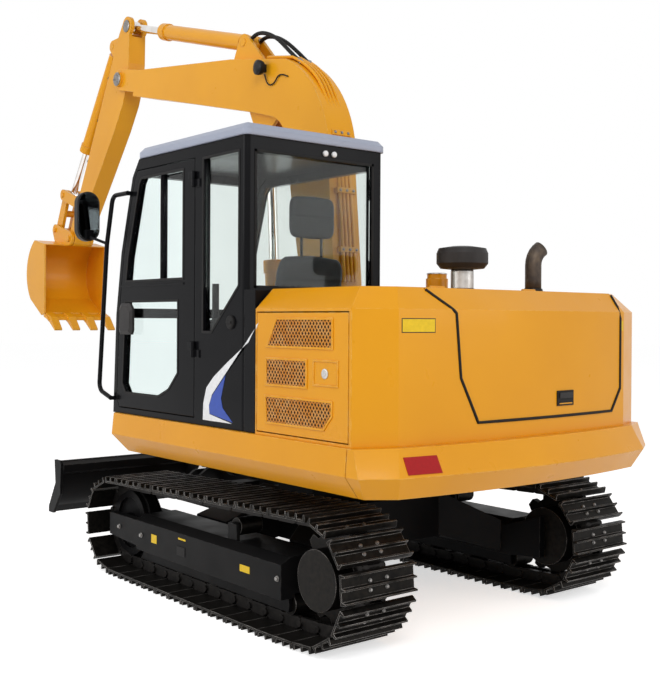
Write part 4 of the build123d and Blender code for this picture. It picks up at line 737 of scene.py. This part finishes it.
def dress_cab():
    """Stripe, window seals, the door's divider, latch cover and catch, roof knobs, lamps and mirror glass."""
    for name, corners, lift, finish in STRIPES:
        stripe = Shape()
        stripe.prism([Vector((x, CAB_SIDE, z)) for x, z in corners], (0, -0.001, 0), (0, 0.001 + lift, 0))
        stripe.finish(name, finish, "upper", "roof_paint")
    tip = Shape()
    tip.prism([Vector((x, HOOD_SIDE, z)) for x, z in ((-0.543, 1.545), (-0.566, 1.580), (-0.543, 1.566))],
              (0, -0.001, 0), (0, 0.001 + SURFACE_LIFT, 0))
    tip.finish("hood_stripe_tip", WHITE_FILM, "upper", "roof_paint")
    door_seals, shell_seals = Shape(), Shape()
    for seals, corners in ((door_seals, DOOR_UPPER), (door_seals, DOOR_LOWER), (shell_seals, REAR_QUARTER)):
        rim(seals, corners, CAB_SIDE, SEAL_WIDTH, SEAL_HEIGHT, 1)
    door_seals.finish("door_window_seals", RUBBER, "cab_door", "dark_plastic")
    for (start_y, start_z), (end_y, end_z) in zip(REAR_WINDOW, REAR_WINDOW[1:] + REAR_WINDOW[:1]):
        size = (SEAL_HEIGHT, abs(end_y - start_y) + SEAL_WIDTH, abs(end_z - start_z) + SEAL_WIDTH)
        shell_seals.box((CAB_REAR - 0.0015, (start_y + end_y) / 2, (start_z + end_z) / 2), size)
    shell_seals.finish("cab_window_seals", RUBBER, "upper", "dark_plastic")
    door = Shape()
    door.box((DIVIDER_X, CAB_SIDE - 0.024, 2.127), (0.022, 0.030, 0.610))
    door.box((DIVIDER_X, CAB_SIDE - 0.006, 2.127), (0.012, 0.014, 0.612))
    door.box((0.560, CAB_SIDE - 0.002, 1.795), (0.760, 0.012, 0.012))
    door.finish("door_window_divider", GLOSS_BLACK, "cab_door", "black_paint")
    cover = Shape()
    for lift, grow in ((0.0, 0.0), (0.014, 0.0), (0.026, 0.020)):
        ring = [(0.770 + grow, 1.500 + grow), (0.905 - grow, 1.500 + grow), (0.925 - grow, 1.525 + grow),
                (0.918 - grow, 1.665 - grow), (0.895 - grow, 1.690 - grow), (0.790 + grow, 1.690 - grow),
                (0.755 + grow, 1.655 - grow), (0.755 + grow, 1.525 + grow)]
        cover.vertices.extend(Vector((x, CAB_SIDE + lift, z)) for x, z in ring)
    cover.faces += [tuple(range(8)), tuple(range(16, 24))[::-1]]
    for level in (0, 8):
        cover.faces += band(level, level + 8, 8)
    cover.finish("door_latch_cover", DARK_PLASTIC, "cab_door", "dark_plastic")
    catch = Shape()
    x, z = CATCH_PLACE
    catch.round((x, CAB_SIDE, z), (0, 1, 0), (0.036, 0.036, 0.028, 0.018), (0, 0.010, 0.016, 0.016), 24)
    catch.box((x, CAB_SIDE + 0.018, z), (0.044, 0.006, 0.012))
    catch.finish("door_hold_catch", RUBBER, "upper", "dark_plastic")
    roof = Shape()
    for y in (0.30, 0.78):
        roof.round((0.560, y, ROOF_TOP - 0.034), UP, (0.020, 0.020, 0.012), (0, 0.016, 0.022), 14)
    roof.finish("roof_knobs", RUBBER, "upper", "dark_plastic")
    lamps = Shape()
    for y in (0.470, 0.530):
        place = (CAB_REAR - 0.002, y, LAMP_HEIGHT)
        lamps.round(place, (-1, 0, 0), (0.016, 0.016, 0.010), (0, 0.010, 0.014), 16)
    lamps.finish("cab_rear_lamps", WHITE_FILM, "upper", "glass")
    glass = Shape()
    outline = []
    for centre_z, first in ((MIRROR_HIGH, 0), (MIRROR_LOW, math.pi)):
        for step in range(13):
            angle = first + math.pi * step / 12
            y = MIRROR_Y + MIRROR_RADIUS * math.cos(angle)
            outline.append(Vector((MIRROR_FACE_X, y, centre_z + MIRROR_RADIUS * math.sin(angle))))
    glass.prism(outline, (0, 0, 0), (-0.0015, 0, 0))
    glass.finish("mirror_glass", MIRROR_GLASS, "upper", "chrome")


# Operator's seat
def cushion(name, centre, axes, size, channels):
    """A crowned closed pad with sewn channels across its first axis; the sizes are along the axes."""
    rings, sides = 40, 36
    shape = Shape()
    points = []
    for ring in range(rings + 1):
        share = ring / rings * 2 - 1
        pull = (1 - abs(share) ** 5) ** 0.2 if abs(share) < 1 else 0.0
        dip = 1 - 0.16 * sum(math.exp(-((share - channel) / 0.035) ** 2) for channel in channels)
        for step in range(sides):
            angle = 2 * math.pi * step / sides
            cosine, sine = math.cos(angle), math.sin(angle)
            across = math.copysign(abs(cosine) ** 0.45, cosine)
            out = math.copysign(abs(sine) ** 0.6, sine)
            crown = 1.0 - 0.18 * abs(across) ** 3
            points.append(Vector(centre) + axes[0] * share * size[0] / 2
                          + axes[1] * across * size[1] / 2 * (0.15 + 0.85 * pull)
                          + axes[2] * out * size[2] / 2 * (0.25 + 0.75 * pull) * dip * crown)
    faces = [tuple(range(sides))[::-1], tuple(range(rings * sides, (rings + 1) * sides))]
    for ring in range(rings):
        faces += band(ring * sides, (ring + 1) * sides, sides)
    shape.add(points, faces)
    piece = shape.finish(name, SEAT_VINYL, "upper", "seat_vinyl", True)
    return piece


SEAT_Y = 0.490
PEDESTAL = ((-0.225, 1.070), (0.165, 1.070), (0.150, 1.330), (-0.210, 1.330))
PEDESTAL_HALF = 0.145


def dress_seat():
    """Seat pad, back and headrest on a pedestal, in place of the plain seat."""
    lean = Vector((-0.085, 0, 0.52)).normalized()
    facing = Vector((lean.z, 0, -lean.x))
    forward = Vector((1, 0, 0))
    pad = cushion("seat_pad", (-0.015, SEAT_Y, 1.395), (forward, LEFTWARD, UP), (0.47, 0.46, 0.115),
                  (-0.35, 0.1, 0.5))
    cushion("seat_back", (-0.225, SEAT_Y, 1.700), (lean, LEFTWARD, facing), (0.51, 0.44, 0.125),
            (-0.45, 0.0, 0.45))
    cushion("seat_headrest", (-0.265, SEAT_Y, 2.165), (UP, LEFTWARD, forward), (0.235, 0.300, 0.075), (0.0,))
    base = Shape()
    profile = [Vector((x, SEAT_Y, z)) for x, z in PEDESTAL]
    base.prism(profile, (0, -PEDESTAL_HALF, 0), (0, 2 * PEDESTAL_HALF, 0))
    for rail in (-0.07, 0.07):
        base.round((-0.262, SEAT_Y + rail, 1.930), UP, (0.008, 0.008), (0, 0.20), 10)
    base.finish("seat_pedestal", DARK_PLASTIC, "upper", "dark_plastic")
    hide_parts("operator_seat")


# Exhaust: a bent pipe with an open end
EXHAUST_PLACE = (-0.950, -0.590)
EXHAUST_RADIUS, EXHAUST_BORE = 0.047, 0.043
EXHAUST_RISE = 0.165
EXHAUST_BEND, EXHAUST_BEND_RISE = 0.105, 0.110


def dress_exhaust():
    """A smooth bent pipe whose open end shows its bore, in place of the mitred one."""
    foot = Vector((*EXHAUST_PLACE, HOOD_TOP))
    bend = Vector((-0.3, -0.95, 0)).normalized()
    level = bend.cross(UP)
    path = [(0, 0), (0, 0.08), (0, EXHAUST_RISE)]
    for degrees in range(12, 72, 12):
        turn = math.radians(degrees)
        ahead = EXHAUST_BEND - EXHAUST_BEND * math.cos(turn)
        path.append((ahead, EXHAUST_RISE + EXHAUST_BEND_RISE * math.sin(turn)))
    shape = Shape()
    sides = 28
    rows = []
    for index, (ahead, rise) in enumerate(path):
        before = path[max(0, index - 1)]
        after = path[min(len(path) - 1, index + 1)]
        along = (bend * (after[0] - before[0]) + UP * (after[1] - before[1])).normalized()
        rows.append((foot + bend * ahead + UP * rise, along))
    rings = [(place, along, EXHAUST_RADIUS) for place, along in rows]
    rings += [(place, along, EXHAUST_BORE) for place, along in rows[::-1]]
    points = []
    for place, along, radius in rings:
        across = along.cross(level)
        for i in range(sides):
            turn = 2 * math.pi * i / sides
            points.append(place + (level * math.cos(turn) + across * math.sin(turn)) * radius)
    faces = []
    for ring in range(len(rings)):
        faces += band(ring * sides, (ring + 1) % len(rings) * sides, sides)
    shape.add(points, faces)
    collar = Shape()
    collar.round(foot, UP, (0.070, 0.070, 0.058, 0.052), (0, 0.008, 0.012, 0.030), 28)
    for angle in (45, 135, 225, 315):
        turn = math.radians(angle)
        collar.bolt(foot + Vector((math.cos(turn) * 0.062, math.sin(turn) * 0.062, 0.010)), UP, 0.010)
    pipe = shape.finish("exhaust_bent_pipe", EXHAUST_STEEL, "upper", "exhaust_steel", True)
    collar.finish("exhaust_collar", DARK_STEEL, "upper", "exhaust_steel")
    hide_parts("exhaust_pipe")


def dress_hood_top():
    """The filler's bright lid and the air cleaner's pale collar."""
    lid, collar = Shape(), Shape()
    low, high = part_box("filler_cap")
    middle = ((low[0] + high[0]) / 2, (low[1] + high[1]) / 2, high[2])
    half = (high[0] - low[0]) / 2
    radii = (half * 0.94, half * 0.94, half * 0.80, half * 0.30)
    lid.round(middle, UP, radii, (-0.0008, 0.003, 0.007, 0.009), 32)
    lid.finish("filler_lid", PALE_STEEL, "upper", "chrome")
    low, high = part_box("precleaner")
    stem = ((low[0] + high[0]) / 2, (low[1] + high[1]) / 2, low[2])
    collar.round(stem, UP, (0.0616, 0.0616, 0.0606), (0.017, 0.108, 0.112), 36)
    collar.finish("precleaner_collar", PALE_STEEL, "upper", "chrome")


# Boom and arm services
BOOM_BACK = ((0.112, 1.830), (0.175, 2.520), (0.222, 2.780), (0.330, 3.065), (0.470, 3.210), (0.640, 3.305))
BOOM_TOP = ((0.640, 3.305), (0.930, 3.358))
BOOM_TIP = (2.950, 3.570)
BOOM_PIPE_CLAMPS = ((0.130, 2.030, 0.09), (0.164, 2.400, 0.09), (0.218, 2.760, 0.30))
WORK_LIGHT = (0.864, 3.279)
ARM_CYLINDER_PIN = (2.895, 4.005)
ARM_PIPE = ((3.118, 3.850), (3.180, 3.745), (3.322, 3.505), (3.560, 3.095), (3.700, 2.855))
ARM_CLIPS = ((3.245, 3.635), (3.440, 3.302), (3.630, 2.975))


def boom_pipe_route(y, lift):
    """A pipe's way up the boom's back and over its bend."""
    route = []
    for x, z in BOOM_BACK + BOOM_TOP:
        if z < 2.6:
            out = Vector((-1, 0, 0.12))
        elif z < 3.2:
            out = Vector((-0.75, 0, 0.66))
        else:
            out = Vector((-0.25, 0, 0.97))
        route.append(Vector((x, y, z)) + out.normalized() * lift)
    return route


def dress_boom():
    """The boom's pipes, clamps, hoses, pin caps and work light, and the arm's pipe, clips and pin caps."""
    for index, y in enumerate((-0.135, -0.105, -0.075, -0.045)):
        tube(f"boom_pipe_{index + 1}", boom_pipe_route(y, 0.020), 0.011, YELLOW_LIT, "boom")
    clamps, bolts, fittings = Shape(), Shape(), Shape()
    for x, z, lean in BOOM_PIPE_CLAMPS:
        along = Vector((math.sin(lean), 0, math.cos(lean)))
        out = Vector((-along.z, 0, along.x))
        centre = Vector((x, FRONT_MIDDLE, z)) + out * 0.018
        clamps.box(centre, (0.034, 0.150, 0.036), (along, LEFTWARD, out))
        for y in (-0.052, 0.0, 0.052):
            bolts.bolt(centre + LEFTWARD * y + out * 0.018, out, 0.016)
    x, z = BOOM_TIP
    for side in (-1, 1):
        cap = (x, FRONT_MIDDLE + side * (BOOM_HALF + 0.022), z)
        bolts.round(cap, (0, side, 0), (0.056, 0.056, 0.050), (-0.001, 0.006, 0.010), 28)
        head_y = FRONT_MIDDLE + side * (BOOM_HALF + 0.032)
        for angle in (0, 120, 240):
            turn = math.radians(angle)
            place = Vector((x + 0.036 * math.cos(turn), head_y, z + 0.036 * math.sin(turn)))
            bolts.bolt(place, (0, side, 0), 0.014)
    clamps.finish("boom_pipe_clamps", YELLOW_LIT, "boom", "yellow_paint")
    bolts.finish("boom_bolts", BOLT_STEEL, "boom", "track_steel")
    lamp, lens = Shape(), Shape()
    wall = FRONT_MIDDLE + BOOM_HALF
    x, z = WORK_LIGHT
    lamp.box((x, wall + 0.012, z), (0.030, 0.024, 0.050))
    lamp.round((x, wall + 0.020, z), LEFTWARD, (0.030, 0.046, 0.050, 0.050, 0.044),
               (0, 0.014, 0.030, 0.046, 0.046), 28)
    lens.round((x, wall + 0.0655, z), LEFTWARD, (0.043, 0.043, 0.034, 0.018), (0, 0.003, 0.007, 0.009), 28)
    lamp.finish("boom_work_light", RUBBER, "boom", "dark_plastic")
    lens.finish("boom_work_light_lens", LAMP_GLASS, "boom", "glass")
    lead = [(0.856, wall + 0.010, 3.240), (0.840, wall + 0.010, 3.185), (0.795, wall + 0.010, 3.150),
            (0.740, wall + 0.010, 3.165), (0.705, wall + 0.009, 3.205), (0.655, wall + 0.008, 3.205),
            (0.600, wall + 0.006, 3.180)]
    tube("boom_light_lead", lead, 0.0045, RUBBER, "boom")
    for index, y in enumerate((-0.128, -0.052)):
        rise = 0.012 * index
        hose = [(1.150, y, 3.535), (1.090, y, 3.560 + rise), (0.970, y, 3.545 + rise),
                (0.830, y, 3.480 + rise), (0.700, y, 3.385), (0.610, y, 3.312), (0.560, y, 3.274)]
        tube(f"boom_hose_{index + 1}", hose, 0.014, RUBBER, "boom")
        for place, along in ((hose[0], (-0.84, 0, 0.54)), (hose[-1], (0.64, 0, 0.77))):
            fittings.round(place, along, (0.018, 0.018, 0.015), (-0.012, 0.026, 0.030), 6)
    fittings.finish("boom_hose_fittings", BOLT_STEEL, "boom", "track_steel")
    arm = Shape()
    for side in (-1, 1):
        face = FRONT_MIDDLE + side * ARM_HALF
        place = (ARM_CYLINDER_PIN[0], face, ARM_CYLINDER_PIN[1])
        arm.round(place, (0, side, 0), (0.050, 0.050, 0.042), (-0.001, 0.008, 0.012), 24)
    arm.finish("arm_pin_caps", BOLT_STEEL, "arm", "track_steel")
    route = [(x, ARM_PIPE_Y, z) for x, z in ARM_PIPE]
    tube("arm_pipe", route, 0.008, YELLOW_LIT, "arm")
    clips = Shape()
    axes = (Vector((0.863, 0, 0.505)), LEFTWARD, Vector((-0.505, 0, 0.863)))
    for x, z in ARM_CLIPS:
        clips.box((x - 0.008, ARM_PIPE_Y, z), (0.030, 0.030, 0.022), axes)
    clips.finish("arm_pipe_clips", DARK_STEEL, "arm", "track_steel")


# Undercarriage trim
FRAME_LABELS = ((0.585, 0.292, 0.062, 0.050), (-0.370, 0.294, 0.090, 0.036), (0.265, 0.342, 0.080, 0.010))
COVER_RADII = (0.150, 0.150, 0.140, 0.104, 0.096, 0.060, 0.052)
COVER_HEIGHTS = (-0.004, 0.002, 0.005, 0.005, 0.0085, 0.0095, 0.011)
COVER_BOLT_CIRCLE = 0.122
IDLER_BOLT_CIRCLE = 0.05


def dress_undercarriage():
    """Blank labels and slots on the track frames, the final drives' bolted covers and the idlers' bolts."""
    labels, slots, covers, bolts = Shape(), Shape(), Shape(), Shape()
    for side in (-1, 1):
        face = side * (TRACK_Y + 0.165)
        for x, z, width, height in FRAME_LABELS:
            labels.box((x, face + side * 0.0005, z), (width, 0.0022, height))
        slots.box((0.275, face + side * 0.001, 0.273), (0.088, 0.004, 0.052))
        for x, z in ((-0.660, 0.300), (0.740, 0.290), (1.020, 0.300)):
            bolts.bolt(Vector((x, face, z)), (0, side, 0), 0.024)
        hub = Vector((SPROCKET[0], side * (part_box("sprockets")[1][1] - 0.012), SPROCKET[1]))
        covers.round(hub, (0, side, 0), COVER_RADII, COVER_HEIGHTS, 36)
        for step in range(12):
            turn = 2 * math.pi * step / 12
            circle = Vector((math.cos(turn) * COVER_BOLT_CIRCLE, 0, math.sin(turn) * COVER_BOLT_CIRCLE))
            place = hub + circle + Vector((0, side * 0.005, 0))
            bolts.bolt(place, (0, side, 0), 0.013)
        wheel = Vector((IDLER[0], side * (TRACK_Y + 0.075), IDLER[1]))
        for step in range(6):
            turn = 2 * math.pi * step / 6
            circle = Vector((math.cos(turn) * IDLER_BOLT_CIRCLE, 0, math.sin(turn) * IDLER_BOLT_CIRCLE))
            bolts.bolt(wheel + circle, (0, side, 0), 0.014)
    labels.finish("frame_labels", LABEL_YELLOW, "undercarriage", "yellow_paint")
    slots.finish("frame_slots", RUBBER, "undercarriage", "black_paint")
    covers.finish("drive_covers", CHASSIS_BLACK, "undercarriage", "black_paint")
    bolts.finish("frame_bolts", BOLT_STEEL, "undercarriage", "track_steel")


# Camera and light
CAMERA_PLACE = Vector((-4.8746, 4.0484, 1.5932))
CAMERA_YAW = math.radians(-39.55)
CAMERA_PITCH = math.radians(-0.37)
CAMERA_ROLL = math.radians(0.33)
PHOTO_HEIGHT = 678
FOCAL_PIXELS = 1040.0
SENSOR_WIDTH = 36
CENTRE_OFFSET = (15.4, -11.9)


def make_camera():
    """The camera at the photograph's place and angle."""
    level = math.cos(CAMERA_PITCH)
    ahead = Vector((level * math.cos(CAMERA_YAW), level * math.sin(CAMERA_YAW), math.sin(CAMERA_PITCH)))
    right = ahead.cross(UP).normalized()
    above = right.cross(ahead)
    right, above = (right * math.cos(CAMERA_ROLL) + above * math.sin(CAMERA_ROLL),
                    above * math.cos(CAMERA_ROLL) - right * math.sin(CAMERA_ROLL))
    data = bpy.data.cameras.new("camera")
    data.sensor_width = SENSOR_WIDTH
    data.lens = FOCAL_PIXELS / PHOTO_HEIGHT * SENSOR_WIDTH
    data.shift_x = -CENTRE_OFFSET[0] / PHOTO_HEIGHT
    data.shift_y = CENTRE_OFFSET[1] / PHOTO_HEIGHT
    data.clip_end = 200
    camera = shown("camera", data)
    turn = Matrix((right, above, -ahead)).transposed().to_4x4()
    camera.matrix_world = Matrix.Translation(CAMERA_PLACE) @ turn
    bpy.context.scene.camera = camera


def area_light(name, place, target, size, power):
    """A soft square lamp aimed at a point."""
    data = bpy.data.lights.new(name, "AREA")
    data.size = size
    data.energy = power
    lamp = shown(name, data)
    lamp.location = place
    lamp.rotation_euler = (Vector(target) - Vector(place)).to_track_quat("-Z", "Y").to_euler()


# Lamps as name, place, target, size and power
STUDIO_LAMPS = (("key", (-7.5, 5.0, 7.5), (0, 0, 1.2), 5.0, 430),
                ("front", (3.0, 8.5, 5.0), (0.8, 0, 1.8), 5.0, 270),
                ("rear", (-8.0, -4.0, 3.5), (-1, 0, 1.2), 4.0, 110))
AMBIENT = 0.42
FLOOR_GLOW = 0.62


def seen_directly(tree):
    """1 for rays from the camera and for reflected or refracted ones, else 0."""
    path = node(tree, "ShaderNodeLightPath")
    first = node(tree, "ShaderNodeMath", operation="MAXIMUM")
    second = node(tree, "ShaderNodeMath", operation="MAXIMUM")
    tree.links.new(path.outputs["Is Camera Ray"], first.inputs[0])
    tree.links.new(path.outputs["Is Glossy Ray"], first.inputs[1])
    tree.links.new(first.outputs[0], second.inputs[0])
    tree.links.new(path.outputs["Is Transmission Ray"], second.inputs[1])
    return second.outputs[0]


def make_studio():
    """A pale floor, a pale surround and large soft lamps."""
    world = bpy.data.worlds.new("surround")
    bpy.context.scene.world = world
    world.use_nodes = True
    tree = world.node_tree
    background = tree.nodes["Background"]
    settle(background, Color=(1.0, 1.0, 1.0, 1))
    tree.links.new(spread(tree, seen_directly(tree), AMBIENT, 1.0), background.inputs["Strength"])
    floor_finish, tree, shader = new_material("floor_white")
    base = mix(tree, noise(tree, 0.4), (0.90, 0.90, 0.90), (0.88, 0.88, 0.885))
    tree.links.new(base, shader.inputs["Base Color"])
    settle(shader, Roughness=0.9, Specular_IOR_Level=0.0, Emission_Color=(1, 1, 1, 1))
    tree.links.new(spread(tree, seen_directly(tree), 0.0, FLOOR_GLOW), shader.inputs["Emission Strength"])
    bpy.ops.mesh.primitive_plane_add(size=120, location=(0, 0, 0))
    floor = bpy.context.object
    floor.name = "floor"
    floor.data.materials.append(floor_finish)
    for lamp in STUDIO_LAMPS:
        area_light(*lamp)
    bpy.context.scene.view_settings.view_transform = "Standard"


dress_cad_nodes()
dress_track(1, "track_left")
dress_track(-1, "track_right")
dress_engine_door(1, "left_engine_door")
dress_engine_door(-1, "right_engine_door")
dress_rear()
dress_cab()
dress_seat()
dress_exhaust()
dress_hood_top()
dress_boom()
dress_undercarriage()
make_camera()
make_studio()

bpy.context.view_layer.update()
